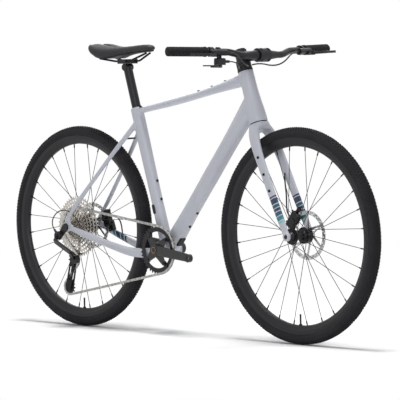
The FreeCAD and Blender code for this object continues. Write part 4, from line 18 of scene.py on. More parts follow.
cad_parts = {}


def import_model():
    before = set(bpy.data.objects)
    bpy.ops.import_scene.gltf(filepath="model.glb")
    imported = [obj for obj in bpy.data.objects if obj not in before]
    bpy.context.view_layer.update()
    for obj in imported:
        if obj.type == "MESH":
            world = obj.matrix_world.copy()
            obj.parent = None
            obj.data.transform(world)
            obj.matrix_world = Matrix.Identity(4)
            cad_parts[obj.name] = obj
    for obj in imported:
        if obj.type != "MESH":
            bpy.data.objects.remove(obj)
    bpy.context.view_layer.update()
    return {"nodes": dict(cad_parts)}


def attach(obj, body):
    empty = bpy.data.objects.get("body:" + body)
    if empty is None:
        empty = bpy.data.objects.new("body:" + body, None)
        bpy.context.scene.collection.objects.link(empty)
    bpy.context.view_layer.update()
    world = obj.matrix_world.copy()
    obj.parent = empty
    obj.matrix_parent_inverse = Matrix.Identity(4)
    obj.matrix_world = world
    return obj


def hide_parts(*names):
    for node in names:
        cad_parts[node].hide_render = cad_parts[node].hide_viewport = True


logging.basicConfig(level=logging.INFO, format="%(message)s")
LOG = logging.getLogger("gravel_bicycle")
MILLIMETRE = 0.001
# The sRGB curve: its straight foot, and the power law above it.
SRGB_KNEE, SRGB_SLOPE, SRGB_OFFSET, SRGB_POWER = 0.04045, 12.92, 0.055, 2.4
# Shares of the noise in a finish's colour, and how far its gloss strays from the mean.
SPECK_SHARE, SHADE_START, SHADE_END, GLOSS_SPREAD = 0.4, 0.45, 0.95, 0.12
PATCHES_PER_WANDER = 3
COAT_ROUGHNESS = 0.2
# A wave texture's phase grows by twenty radians per unit of scale, so rings stand 2 pi ring_mm apart.
WAVE_RADIANS, RING_WANDER = 20, 0.4
# Faces that meet at a sharper turn than these keep a crisp edge.
TURNED_EDGE, TREAD_EDGE = math.radians(40), math.radians(30)


class Side(Enum):
    """A side of the bicycle, as the sign of its Y."""

    RIGHT = -1
    LEFT = 1


class Body(Enum):
    """The moving bodies that new pieces ride on."""

    FRAME = "frame"
    STEERING = "steering"
    FRONT_WHEEL = "front_wheel"
    REAR_WHEEL = "rear_wheel"
    CRANKSET = "crankset"
    SADDLE = "saddle"


def linear_colour(code: str) -> tuple[float, float, float, float]:
    """Turn an sRGB hex colour into linear light.

    Args:
        code: the colour as #RRGGBB.
    Returns:
        Red, green, blue and an alpha of one.
    """
    parts = [int(code[place:place + 2], 16) / 255 for place in (1, 3, 5)]
    light = [part / SRGB_SLOPE if part <= SRGB_KNEE
             else ((part + SRGB_OFFSET) / (1 + SRGB_OFFSET)) ** SRGB_POWER for part in parts]
    return (light[0], light[1], light[2], 1.0)


def per_metre(size_mm: float) -> float:
    """Return the texture scale that gives a pattern its real size in millimetres."""
    return 1.0 / (size_mm * MILLIMETRE)


def add_node(tree: bpy.types.NodeTree, kind: str, settings: dict[str, Any] | None = None,
             inputs: dict[Any, Any] | None = None) -> bpy.types.Node:
    """Add a shader node with its settings and links.

    Args:
        tree: the material's or world's node tree.
        kind: the node's type name.
        settings: attributes of the node.
        inputs: values or output sockets for its input sockets, by name or place.
    Returns:
        The node.
    """
    made = tree.nodes.new(kind)
    for name, value in (settings or {}).items():
        setattr(made, name, value)
    for name, value in (inputs or {}).items():
        if isinstance(value, bpy.types.NodeSocket):
            tree.links.new(value, made.inputs[name])
        else:
            made.inputs[name].default_value = value
    return made


@dataclass(frozen=True)
class Finish:
    """A surface finish: a colour that wanders a little, a roughness and a fine relief."""

    name: str
    colour: str
    shade: str
    roughness: float
    metallic: float = 0.0
    grain_mm: float = 1.0
    wander_mm: float = 60.0
    relief: float = 0.1
    relief_mm: float = 0.05
    coat: float = 0.0
    sheen: float = 0.0
    specular: float = 0.5

    def material(self) -> bpy.types.Material:
        """Return the material, made on first use."""
        known = bpy.data.materials.get(self.name)
        if known:
            return known
        made = bpy.data.materials.new(self.name)
        made.use_nodes = True
        tree = made.node_tree
        tree.nodes.clear()
        place = add_node(tree, "ShaderNodeTexCoord").outputs["Object"]
        shader = add_node(tree, "ShaderNodeBsdfPrincipled", inputs={
            "Metallic": self.metallic, "Coat Weight": self.coat, "Coat Roughness": COAT_ROUGHNESS,
            "Sheen Weight": self.sheen, "Specular IOR Level": self.specular,
            "Base Color": self.tint(tree, place),
            "Roughness": self.gloss(tree, place), "Normal": self.texture(tree, place)})
        add_node(tree, "ShaderNodeOutputMaterial", inputs={"Surface": shader.outputs["BSDF"]})
        return made

    def tint(self, tree: bpy.types.NodeTree, place: bpy.types.NodeSocket) -> bpy.types.NodeSocket:
        """Return the colour, which wanders between its two shades."""
        cloud = add_node(tree, "ShaderNodeTexNoise", inputs={
            "Vector": place, "Scale": per_metre(self.wander_mm), "Detail": 3.0})
        speck = add_node(tree, "ShaderNodeTexNoise", inputs={
            "Vector": place, "Scale": per_metre(self.grain_mm), "Detail": 2.0})
        both = add_node(tree, "ShaderNodeMath", {"operation": "MULTIPLY_ADD"}, {
            0: speck.outputs["Fac"], 1: SPECK_SHARE, 2: cloud.outputs["Fac"]})
        spread = add_node(tree, "ShaderNodeMapRange", inputs={
            "Value": both.outputs[0], "From Min": SHADE_START, "From Max": SHADE_END})
        mix = add_node(tree, "ShaderNodeMix", {"data_type": "RGBA"}, {
            0: spread.outputs["Result"], 6: linear_colour(self.colour), 7: linear_colour(self.shade)})
        return mix.outputs[2]

    def gloss(self, tree: bpy.types.NodeTree, place: bpy.types.NodeSocket) -> bpy.types.NodeSocket:
        """Return the roughness, a little patchy as on a handled surface."""
        patch = add_node(tree, "ShaderNodeTexNoise", inputs={
            "Vector": place, "Scale": per_metre(self.wander_mm / PATCHES_PER_WANDER), "Detail": 2.0})
        return add_node(tree, "ShaderNodeMapRange", inputs={
            "Value": patch.outputs["Fac"], "To Min": self.roughness * (1 - GLOSS_SPREAD),
            "To Max": min(self.roughness * (1 + GLOSS_SPREAD), 1.0)}).outputs["Result"]

    def texture(self, tree: bpy.types.NodeTree, place: bpy.types.NodeSocket) -> bpy.types.NodeSocket:
        """Return the normal with the finish's fine relief."""
        grit = add_node(tree, "ShaderNodeTexNoise", inputs={
            "Vector": place, "Scale": per_metre(self.grain_mm), "Detail": 3.0})
        return add_node(tree, "ShaderNodeBump", inputs={
            "Strength": self.relief, "Distance": self.relief_mm * MILLIMETRE,
            "Height": grit.outputs["Fac"]}).outputs["Normal"]


@dataclass(frozen=True)
class BandedPaint(Finish):
    """Frame paint with a stack of slanted colour bands on one stretch of a tube."""

    bands: tuple[tuple[float, str], ...] = ()
    band_way: tuple[float, float, float] = (0.0, 0.0, 1.0)
    band_start: float = 0.0
    band_end: float = 1.0
    least_side: float = -10.0
    most_height: float = 10.0

    def tint(self, tree: bpy.types.NodeTree, place: bpy.types.NodeSocket) -> bpy.types.NodeSocket:
        """Return the paint's colour with the bands laid over it."""
        paint = super().tint(tree, place)
        along = add_node(tree, "ShaderNodeVectorMath", {"operation": "DOT_PRODUCT"}, {
            0: place, 1: self.band_way})
        share = add_node(tree, "ShaderNodeMapRange", inputs={
            "Value": along.outputs["Value"], "From Min": self.band_start, "From Max": self.band_end})
        ramp = add_node(tree, "ShaderNodeValToRGB", inputs={"Fac": share.outputs["Result"]})
        ramp.color_ramp.interpolation = "CONSTANT"
        stops = ramp.color_ramp.elements
        stops[0].position, stops[0].color = 0.0, (0.0, 0.0, 0.0, 0.0)
        stops[1].position, stops[1].color = 0.999, (0.0, 0.0, 0.0, 0.0)
        for start, code in self.bands:
            stop = stops.new(start)
            stop.color = linear_colour(code) if code else (0.0, 0.0, 0.0, 0.0)
        split = add_node(tree, "ShaderNodeSeparateXYZ", inputs={"Vector": place})
        beside = add_node(tree, "ShaderNodeMath", {"operation": "GREATER_THAN"}, {
            0: split.outputs["Y"], 1: self.least_side})
        below = add_node(tree, "ShaderNodeMath", {"operation": "LESS_THAN"}, {
            0: split.outputs["Z"], 1: self.most_height})
        inside = add_node(tree, "ShaderNodeMath", {"operation": "MULTIPLY"}, {
            0: beside.outputs[0], 1: below.outputs[0]})
        mask = add_node(tree, "ShaderNodeMath", {"operation": "MULTIPLY"}, {
            0: inside.outputs[0], 1: ramp.outputs["Alpha"]})
        mix = add_node(tree, "ShaderNodeMix", {"data_type": "RGBA"}, {
            0: mask.outputs[0], 6: paint, 7: ramp.outputs["Color"]})
        return mix.outputs[2]


@dataclass(frozen=True)
class TurnedMetal(Finish):
    """Metal with fine rings round an axle that runs along Y."""

    axle: tuple[float, float, float] = (0.0, 0.0, 0.0)
    ring_mm: float = 1.2

    def texture(self, tree: bpy.types.NodeTree, place: bpy.types.NodeSocket) -> bpy.types.NodeSocket:
        """Return the normal with turning rings, drawn coarser than real so that they show."""
        centred = add_node(tree, "ShaderNodeMapping", inputs={
            "Vector": place, "Location": tuple(-value for value in self.axle)})
        rings = add_node(tree, "ShaderNodeTexWave", {
            "wave_type": "RINGS", "rings_direction": "Y"}, {
            "Vector": centred.outputs["Vector"], "Scale": per_metre(self.ring_mm) / WAVE_RADIANS,
            "Distortion": RING_WANDER})
        return add_node(tree, "ShaderNodeBump", inputs={
            "Strength": self.relief, "Distance": self.relief_mm * MILLIMETRE,
            "Height": rings.outputs["Fac"]}).outputs["Normal"]


@dataclass(frozen=True)
class GrainedSkin(Finish):
    """Coated synthetic leather with a pebbled grain."""

    pebble_mm: float = 1.6

    def texture(self, tree: bpy.types.NodeTree, place: bpy.types.NodeSocket) -> bpy.types.NodeSocket:
        """Return the normal with pebbles that meet in fine creases."""
        cells = add_node(tree, "ShaderNodeTexVoronoi", {"feature": "SMOOTH_F1"}, {
            "Vector": place, "Scale": per_metre(self.pebble_mm)})
        return add_node(tree, "ShaderNodeBump", {"invert": True}, {
            "Strength": self.relief, "Distance": self.relief_mm * MILLIMETRE,
            "Height": cells.outputs["Distance"]}).outputs["Normal"]


REAR_AXLE = (-0.529, 0.0, 0.351)
FRONT_AXLE = (0.529, 0.0, 0.351)
CRANK_AXLE = (-0.0918, 0.0, 0.286)

# Polyester coating over aluminium: pale cool grey with a satin skin and a faint orange peel.
PAINT = dict(colour="#C3C5CE", shade="#BBBDC8", roughness=0.36, grain_mm=3.0, wander_mm=160.0, relief=0.12,
             relief_mm=0.05, coat=0.12)
NAVY, DEEP_TEAL, TEAL, PALE_TEAL = "#1E3050", "#1A5064", "#2F7F88", "#8FB9BE"
FRAME_PAINT = BandedPaint("satin_frame_paint", **PAINT, band_way=(1.0, 0.0, 0.35), band_start=-0.33,
                          band_end=-0.23, least_side=0.024, most_height=0.335, bands=(
                              (0.06, TEAL), (0.2, ""), (0.24, NAVY), (0.46, ""), (0.5, DEEP_TEAL),
                              (0.66, ""), (0.7, NAVY), (0.8, "")))
FORK_PAINT = BandedPaint("satin_fork_paint", **PAINT, band_way=(-0.42, 0.0, 0.9), band_start=0.135,
                         band_end=0.245, bands=(
                             (0.05, PALE_TEAL), (0.12, ""), (0.15, TEAL), (0.27, ""), (0.3, DEEP_TEAL),
                             (0.41, ""), (0.44, NAVY), (0.52, ""), (0.55, DEEP_TEAL), (0.64, ""),
                             (0.67, NAVY), (0.83, ""), (0.86, NAVY), (0.91, "")))
# Bead-blasted, black-dyed anodised aluminium: dark, soft highlights, a very fine grit.
BLACK_ALLOY = Finish("black_anodised_alloy", "#1F1F23", "#17171A", 0.4, 0.4, 0.7, 80.0, 0.15, 0.03)
# Forged and polished black crank arms: a deeper, glossier coat.
CRANK_ALLOY = Finish("glossy_black_crank", "#242326", "#1B1A1D", 0.34, 0.3, 1.0, 60.0, 0.08, 0.03,
                     coat=0.15)
# Drawn stainless wire, black oxide: thin, dull, a little brown.
SPOKE_STEEL = Finish("black_spoke_wire", "#2B2A2C", "#201F21", 0.4, 0.7, 0.8, 40.0, 0.1, 0.02)
# Hardened steel fasteners with a black oxide skin.
BOLT_STEEL = Finish("black_oxide_steel", "#26262A", "#18181A", 0.38, 0.8, 0.6, 12.0, 0.15, 0.03)
# Stainless braking disc, ground in rings.
DISC_FRONT = TurnedMetal("ground_disc_front", "#C6C6C8", "#A9A9AD", 0.32, 0.95, 0.8, 24.0, 0.3, 0.04,
                         axle=FRONT_AXLE)
DISC_REAR = TurnedMetal("ground_disc_rear", "#C6C6C8", "#A9A9AD", 0.32, 0.95, 0.8, 24.0, 0.3, 0.04,
                        axle=REAR_AXLE)
# Nickel-plated stamped sprockets, warm silver with wear at the teeth.
SPROCKET_STEEL = TurnedMetal("nickel_sprocket_steel", "#D6D1CA", "#A9A39B", 0.3, 0.9, 0.8, 18.0, 0.25, 0.04,
                             axle=REAR_AXLE)
# Nickel-plated chain plates with a film of oil.
CHAIN_STEEL = Finish("oiled_chain_steel", "#C2C1BE", "#82817E", 0.3, 0.9, 0.8, 9.0, 0.2, 0.04)
# Moulded glass-filled nylon: matt black, fine spark-eroded texture.
MOULDED_BLACK = Finish("moulded_black_nylon", "#222225", "#1A1A1D", 0.6, 0.0, 0.8, 40.0, 0.3, 0.05,
                       specular=0.35)
# Soft moulded grip rubber: dusty black.
GRIP_RUBBER = Finish("soft_grip_rubber", "#202023", "#18181A", 0.78, 0.0, 1.0, 30.0, 0.35, 0.08,
                     specular=0.25)
# Vulcanised tyre rubber: charcoal, dull, dusted by the road.
TYRE_RUBBER = Finish("charcoal_tyre_rubber", "#252428", "#1D1C1F", 0.8, 0.0, 0.9, 45.0, 0.4, 0.08,
                     specular=0.25)
# Coated saddle skin over foam.
SADDLE_SKIN = GrainedSkin("grained_saddle_skin", "#202024", "#18181B", 0.58, 0.0, 1.6, 50.0, 0.2, 0.1)
# Extruded nylon hose jacket: black and slightly shiny.
HOSE_JACKET = Finish("nylon_hose_jacket", "#1B1B1E", "#131315", 0.34, 0.0, 1.0, 20.0, 0.1, 0.02)
# Gold anodised trim ring.
GOLD_RING = Finish("gold_anodised_ring", "#B08A45", "#8F6D30", 0.3, 0.9, 0.6, 10.0, 0.1, 0.02)

NODE_FINISHES: dict[str, Finish] = {
    "front_rim": BLACK_ALLOY, "rear_rim": BLACK_ALLOY, "front_hub": BLACK_ALLOY, "rear_hub": BLACK_ALLOY,
    "front_spokes": SPOKE_STEEL, "rear_spokes": SPOKE_STEEL, "front_rotor": DISC_FRONT,
    "rear_rotor": DISC_REAR, "frame_bolts": BOLT_STEEL, "frame_trim": MOULDED_BLACK,
    "rear_caliper": BLACK_ALLOY, "front_caliper": BLACK_ALLOY, "headset_bearings": BOLT_STEEL,
    "headset_stack": MOULDED_BLACK, "steering_bolts": BOLT_STEEL, "stem": BLACK_ALLOY,
    "stem_faceplate": BLACK_ALLOY, "handlebar": BLACK_ALLOY, "brake_lever_left": BLACK_ALLOY,
    "brake_lever_right": BLACK_ALLOY, "brake_master_left": BLACK_ALLOY, "brake_master_right": BLACK_ALLOY,
    "shifter_body": MOULDED_BLACK, "shift_thumb_lever": MOULDED_BLACK, "shift_release_lever": MOULDED_BLACK,
    "chain": CHAIN_STEEL, "cassette": SPROCKET_STEEL, "freehub": BLACK_ALLOY,
    "bottom_bracket_cups": BLACK_ALLOY, "crank_arm_right": CRANK_ALLOY, "crank_arm_left": CRANK_ALLOY,
    "chainring": BLACK_ALLOY, "derailleur_hanger": BLACK_ALLOY, "derailleur_outer_link": BLACK_ALLOY,
    "derailleur_inner_link": BLACK_ALLOY, "derailleur_body": BLACK_ALLOY, "derailleur_knuckle": BLACK_ALLOY,
    "derailleur_cage": BOLT_STEEL, "guide_pulley": MOULDED_BLACK, "tension_pulley": MOULDED_BLACK,
    "front_thru_axle": BLACK_ALLOY, "rear_thru_axle": BLACK_ALLOY, "seatpost": BLACK_ALLOY,
    "seat_clamp_wedge": BLACK_ALLOY, "saddle_base": MOULDED_BLACK, "saddle_rails": BOLT_STEEL,
    "saddle_clamp": BLACK_ALLOY,
}


def pick_only(obj: bpy.types.Object) -> None:
    """Make one object the only selected and the active one."""
    if bpy.context.mode != "OBJECT":
        bpy.ops.object.mode_set(mode="OBJECT")
    bpy.ops.object.select_all(action="DESELECT")
    obj.select_set(True)
    bpy.context.view_layer.objects.active = obj


def settle(obj: bpy.types.Object) -> None:
    """Put an object's place, turn and scale into its mesh."""
    pick_only(obj)
    bpy.ops.object.transform_apply(location=True, rotation=True, scale=True)


def modify(obj: bpy.types.Object, kind: str, **settings: Any) -> None:
    """Add a modifier with its settings and apply it.

    Args:
        obj: the object.
        kind: the modifier's type name.
        settings: attributes of the modifier.
    """
    pick_only(obj)
    modifier = obj.modifiers.new(kind.lower(), kind)
    for name, value in settings.items():
        setattr(modifier, name, value)
    bpy.ops.object.modifier_apply(modifier=modifier.name)


def clean_normals(obj: bpy.types.Object, merge: float = 1e-5) -> None:
    """Merge doubles and turn the faces outwards."""
    pick_only(obj)
    bpy.ops.object.mode_set(mode="EDIT")
    bpy.ops.mesh.select_all(action="SELECT")
    bpy.ops.mesh.remove_doubles(threshold=merge)
    bpy.ops.mesh.normals_make_consistent(inside=False)
    bpy.ops.object.mode_set(mode="OBJECT")


def dress(obj: bpy.types.Object, finish: Finish, body: Body) -> None:
    """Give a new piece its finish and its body.

    Args:
        obj: the piece.
        finish: its finish.
        body: the body that it rides on.
    """
    obj.data.materials.clear()
    obj.data.materials.append(finish.material())
    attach(obj, body.value)
    LOG.info("piece %s: %s on %s", obj.name, finish.name, body.value)


def turn_profile(name: str, profile: Sequence[tuple[float, float]], segments: int) -> bpy.types.Object:
    """Model a round piece along +Z by extruding and resizing one ring after another.

    Args:
        name: the piece's name.
        profile: radius and height of each ring, from the start to the end.
        segments: corners round the piece.
    Returns:
        The closed piece.
    """
    radius, height = profile[0]
    bpy.ops.object.select_all(action="DESELECT")
    bpy.ops.mesh.primitive_circle_add(vertices=segments, radius=radius, location=(0, 0, 0),
                                      fill_type="NGON")
    obj = bpy.context.active_object
    obj.name = name
    bpy.ops.object.mode_set(mode="EDIT")
    bpy.ops.mesh.select_all(action="SELECT")
    bpy.ops.transform.translate(value=(0, 0, height))
    for next_radius, next_height in profile[1:]:
        bpy.ops.mesh.extrude_region_move(TRANSFORM_OT_translate={"value": (0, 0, next_height - height)})
        ratio = next_radius / radius
        bpy.ops.transform.resize(value=(ratio, ratio, 1), center_override=(0, 0, next_height))
        radius, height = next_radius, next_height
    bpy.ops.object.mode_set(mode="OBJECT")
    clean_normals(obj)
    pick_only(obj)
    bpy.ops.object.shade_smooth_by_angle(angle=TURNED_EDGE)
    return obj


def stand_along(obj: bpy.types.Object, base: Vector, way: Vector) -> None:
    """Turn a piece from +Z to a heading, put it at a point and settle it."""
    obj.matrix_world = Matrix.Translation(base) @ way.to_track_quat("Z", "Y").to_matrix().to_4x4()
    settle(obj)


@dataclass
class PaintedShell:
    """A painted tube assembly whose welded joints run smoothly into each other."""

    node: str
    finish: Finish
    body: Body
    voxel: float = 0.0019
    smooth_rounds: int = 14
    most_triangles: int = 180_000

    def build(self, nodes: dict[str, bpy.types.Object]) -> bpy.types.Object:
        """Model the shell over the CAD node and dress it.

        Args:
            nodes: the CAD nodes by name.
        Returns:
            The shell.
        """
        source = nodes[self.node]
        shell = bpy.data.objects.new(self.node + "_shell", source.data.copy())
        bpy.context.scene.collection.objects.link(shell)
        clean_normals(shell)
        modify(shell, "REMESH", mode="VOXEL", voxel_size=self.voxel, use_smooth_shade=True)
        modify(shell, "SMOOTH", factor=0.5, iterations=self.smooth_rounds)
        faces = len(shell.data.polygons) * 2
        if faces > self.most_triangles:
            modify(shell, "DECIMATE", ratio=self.most_triangles / faces)
        pick_only(shell)
        bpy.ops.object.shade_smooth()
        dress(shell, self.finish, self.body)
        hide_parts(self.node)
        return shell


@dataclass
class TreadRow:
    """One row of tread blocks round the tyre."""

    lean_deg: float
    length: float
    width: float
    height: float
    count: int
    stagger: float = 0.0
    skew_deg: float = 0.0


@dataclass
class Tyre:
    """A gravel tyre: a round casing with rows of low blocks."""

    name: str
    axle: tuple[float, float, float]
    body: Body
    ring_radius: float = 0.3309
    casing_radius: float = 0.0180
    side_radius: float = 0.0194
    round_segments: int = 220
    wall_segments: int = 44
    bead_lean_deg: tuple[float, float] = (100.0, 109.0)
    bead_edge: float = 0.0006
    bead_height: float = 0.0004
    block_taper: tuple[float, float] = (0.78, 0.72)
    rows: list[TreadRow] = field(default_factory=lambda: [
        TreadRow(0.0, 0.0056, 0.0034, 0.0019, 228, 0.0, 0.0),
        TreadRow(12.0, 0.0050, 0.0030, 0.0019, 228, 0.5, 24.0),
        TreadRow(-12.0, 0.0050, 0.0030, 0.0019, 228, 0.5, -24.0),
        TreadRow(24.0, 0.0052, 0.0032, 0.0019, 228, 0.0, -20.0),
        TreadRow(-24.0, 0.0052, 0.0032, 0.0019, 228, 0.0, 20.0),
        TreadRow(38.0, 0.0058, 0.0044, 0.0021, 190, 0.5, 0.0),
        TreadRow(-38.0, 0.0058, 0.0044, 0.0021, 190, 0.5, 0.0),
        TreadRow(54.0, 0.0052, 0.0044, 0.0018, 190, 0.0, 0.0),
        TreadRow(-54.0, 0.0052, 0.0044, 0.0018, 190, 0.0, 0.0),
    ])

    def casing(self) -> bpy.types.Object:
        """Model the casing with a raised bead line on each wall."""
        bpy.ops.object.select_all(action="DESELECT")
        bpy.ops.mesh.primitive_torus_add(major_radius=self.ring_radius, minor_radius=self.casing_radius,
                                         major_segments=self.round_segments,
                                         minor_segments=self.wall_segments,
                                         rotation=(math.pi / 2, 0, 0))
        obj = bpy.context.active_object
        settle(obj)
        obj.scale = (1, self.side_radius / self.casing_radius, 1)
        settle(obj)
        bpy.ops.object.mode_set(mode="EDIT")
        bpy.ops.mesh.select_mode(type="FACE")
        bpy.ops.mesh.select_all(action="DESELECT")
        bpy.ops.object.mode_set(mode="OBJECT")
        for polygon in obj.data.polygons:
            centre = polygon.center
            reach = math.hypot(centre.x, centre.z) - self.ring_radius
            lean = math.degrees(math.atan2(abs(centre.y), reach))
            polygon.select = self.bead_lean_deg[0] < lean < self.bead_lean_deg[1]
        bpy.ops.object.mode_set(mode="EDIT")
        bpy.ops.mesh.inset(thickness=self.bead_edge, depth=self.bead_height)
        bpy.ops.object.mode_set(mode="OBJECT")
        return obj

    def row(self, made: TreadRow) -> bpy.types.Object:
        """Model one block, and copy it round the tyre.

        Args:
            made: the row's sizes.
        Returns:
            The row as one mesh.
        """
        bpy.ops.object.select_all(action="DESELECT")
        bpy.ops.mesh.primitive_cube_add(size=1.0)
        block = bpy.context.active_object
        block.scale = (made.length, made.width, made.height * 2)
        settle(block)
        bpy.ops.object.mode_set(mode="EDIT")
        bpy.ops.mesh.select_all(action="DESELECT")
        bpy.ops.object.mode_set(mode="OBJECT")
        for polygon in block.data.polygons:
            polygon.select = polygon.normal.z > 0.5
        bpy.ops.object.mode_set(mode="EDIT")
        bpy.ops.transform.resize(value=(*self.block_taper, 1), center_override=(0, 0, made.height))
        bpy.ops.object.mode_set(mode="OBJECT")
        lean = math.radians(made.lean_deg)
        step = 2 * math.pi / made.count
        beside, above = self.side_radius * math.sin(lean), self.casing_radius * math.cos(lean)
        tilt = math.atan2(math.sin(lean) / self.side_radius, math.cos(lean) / self.casing_radius)
        spot = Vector((0, beside, self.ring_radius + above))
        stand = Matrix.Translation(spot) @ Matrix.Rotation(-tilt, 4, "X")
        stand = stand @ Matrix.Rotation(math.radians(made.skew_deg), 4, "Z")
        block.matrix_world = Matrix.Rotation(step * made.stagger, 4, "Y") @ stand
        settle(block)
        bpy.ops.object.select_all(action="DESELECT")
        bpy.ops.object.empty_add(location=(0, 0, 0), rotation=(0, step, 0))
        guide = bpy.context.active_object
        modify(block, "ARRAY", count=made.count, use_relative_offset=False, use_object_offset=True,
               offset_object=guide)
        bpy.data.objects.remove(guide)
        return block

    def build(self) -> bpy.types.Object:
        """Model the whole tyre, put it on its axle and dress it."""
        casing = self.casing()
        rows = [self.row(made) for made in self.rows]
        pick_only(casing)
        for row in rows:
            row.select_set(True)
        bpy.ops.object.join()
        tyre = bpy.context.active_object
        tyre.name = self.name + "_treaded"
        tyre.location = self.axle
        settle(tyre)
        bpy.ops.object.shade_smooth_by_angle(angle=TREAD_EDGE)
        dress(tyre, TYRE_RUBBER, self.body)
        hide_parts(self.name)
        return tyre


@dataclass
class Grip:
    """A ribbed slip-on grip with a lock collar and a domed end."""

    side: Side
    end: tuple[float, float, float] = (0.3192, 0.3625, 0.9517)
    out: tuple[float, float, float] = (-0.1939, 0.9808, 0.0220)
    length: float = 0.142
    radius: float = 0.0155
    groove_radius: float = 0.0147
    collar_radius: float = 0.0165
    collar_length: float = 0.008
    cap_length: float = 0.004
    collar_edge: float = 0.0008
    plain_start: float = 0.003
    plain_end: float = 0.006
    end_bead: float = 0.005
    ribs: int = 30
    segments: int = 48
    rib_shares: tuple[float, float, float] = (0.18, 0.68, 0.86)
    cap_shares: tuple[float, float, float] = (0.93, 0.72, 0.6)

    def profile(self) -> list[tuple[float, float]]:
        """Return the ring sizes from the collar to the end cap."""
        eased = self.collar_radius - self.collar_edge
        rings = [(eased, 0.0), (self.collar_radius, self.collar_edge),
                 (self.collar_radius, self.collar_length - self.collar_edge),
                 (eased, self.collar_length), (self.groove_radius, self.collar_length)]
        start = self.collar_length + self.plain_start
        step = (self.length - start - self.plain_end) / self.ribs
        rise, fall, foot = self.rib_shares
        shoulder, crown, bend = self.cap_shares
        for index in range(self.ribs):
            base = start + index * step
            rings += [(self.groove_radius, base), (self.radius, base + step * rise),
                      (self.radius, base + step * fall), (self.groove_radius, base + step * foot)]
        rings += [(self.radius, self.length - self.end_bead), (self.radius, self.length),
                  (self.radius * shoulder, self.length + self.cap_length * bend),
                  (self.radius * crown, self.length + self.cap_length)]
        return rings

    def build(self) -> bpy.types.Object:
        """Model the grip on its bar end and dress it."""
        node = "grip_" + self.side.name.lower()
        grip = turn_profile(node + "_ribbed", self.profile(), self.segments)
        sign = self.side.value
        out = Vector((self.out[0], self.out[1] * sign, self.out[2])).normalized()
        end = Vector((self.end[0], self.end[1] * sign, self.end[2]))
        stand_along(grip, end - out * self.length, out)
        dress(grip, GRIP_RUBBER, Body.STEERING)
        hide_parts(node)
        return grip


@dataclass
class SaddleSkin:
    """The padded saddle cover, smoothed over its foam."""

    voxel: float = 0.0022
    smooth_rounds: int = 10

    def build(self, nodes: dict[str, bpy.types.Object]) -> bpy.types.Object:
        """Model the cover over its CAD form and dress it.

        Args:
            nodes: the CAD nodes by name.
        Returns:
            The cover.
        """
        cover = bpy.data.objects.new("saddle_cover_skin", nodes["saddle_cover"].data.copy())
        bpy.context.scene.collection.objects.link(cover)
        clean_normals(cover)
        modify(cover, "REMESH", mode="VOXEL", voxel_size=self.voxel, use_smooth_shade=True)
        modify(cover, "SMOOTH", factor=0.5, iterations=self.smooth_rounds)
        dress(cover, SADDLE_SKIN, Body.SADDLE)
        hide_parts("saddle_cover")
        return cover


@dataclass
class HoseRun:
    """A brake hose or shift housing that runs from one fitting to another."""

    name: str
    node: str
    body: Body
    route: Sequence[tuple[float, float, float]]
    length: float
    diameter: float

    def build(self) -> bpy.types.Object:
        curve = bpy.data.curves.new(self.name, "CURVE")
        curve.dimensions = "3D"
        curve.bevel_depth = self.diameter / 2
        curve.bevel_resolution = 4
        curve.resolution_u = 16
        curve.use_fill_caps = True
        spline = curve.splines.new("NURBS")
        spline.points.add(len(self.route) - 1)
        for point, place in zip(spline.points, self.route):
            point.co = (*place, 1.0)
        spline.order_u = 3
        spline.use_endpoint_u = True
        hose = bpy.data.objects.new(self.name, curve)
        bpy.context.scene.collection.objects.link(hose)
        dress(hose, HOSE_JACKET, self.body)
        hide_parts(self.node)
        return hose


@dataclass
class CrankTrim:
    """The thin gold ring round the crank axle's cap."""

    radius: float = 0.0104
    thickness: float = 0.0016
    flatness: float = 0.55
    face: float = -0.0675
    round_segments: int = 64
    section_segments: int = 12

    def build(self) -> bpy.types.Object:
        """Model the ring on the right crank's cap and dress it."""
        bpy.ops.object.select_all(action="DESELECT")
        bpy.ops.mesh.primitive_torus_add(
            major_radius=self.radius, minor_radius=self.thickness / 2,
            major_segments=self.round_segments, minor_segments=self.section_segments,
            location=(CRANK_AXLE[0], self.face, CRANK_AXLE[2]), rotation=(math.pi / 2, 0, 0))
        ring = bpy.context.active_object
        ring.name = "crank_cap_ring"
        ring.scale = (1, 1, self.flatness)
        settle(ring)
        bpy.ops.object.shade_smooth()
        dress(ring, GOLD_RING, Body.CRANKSET)
        return ring


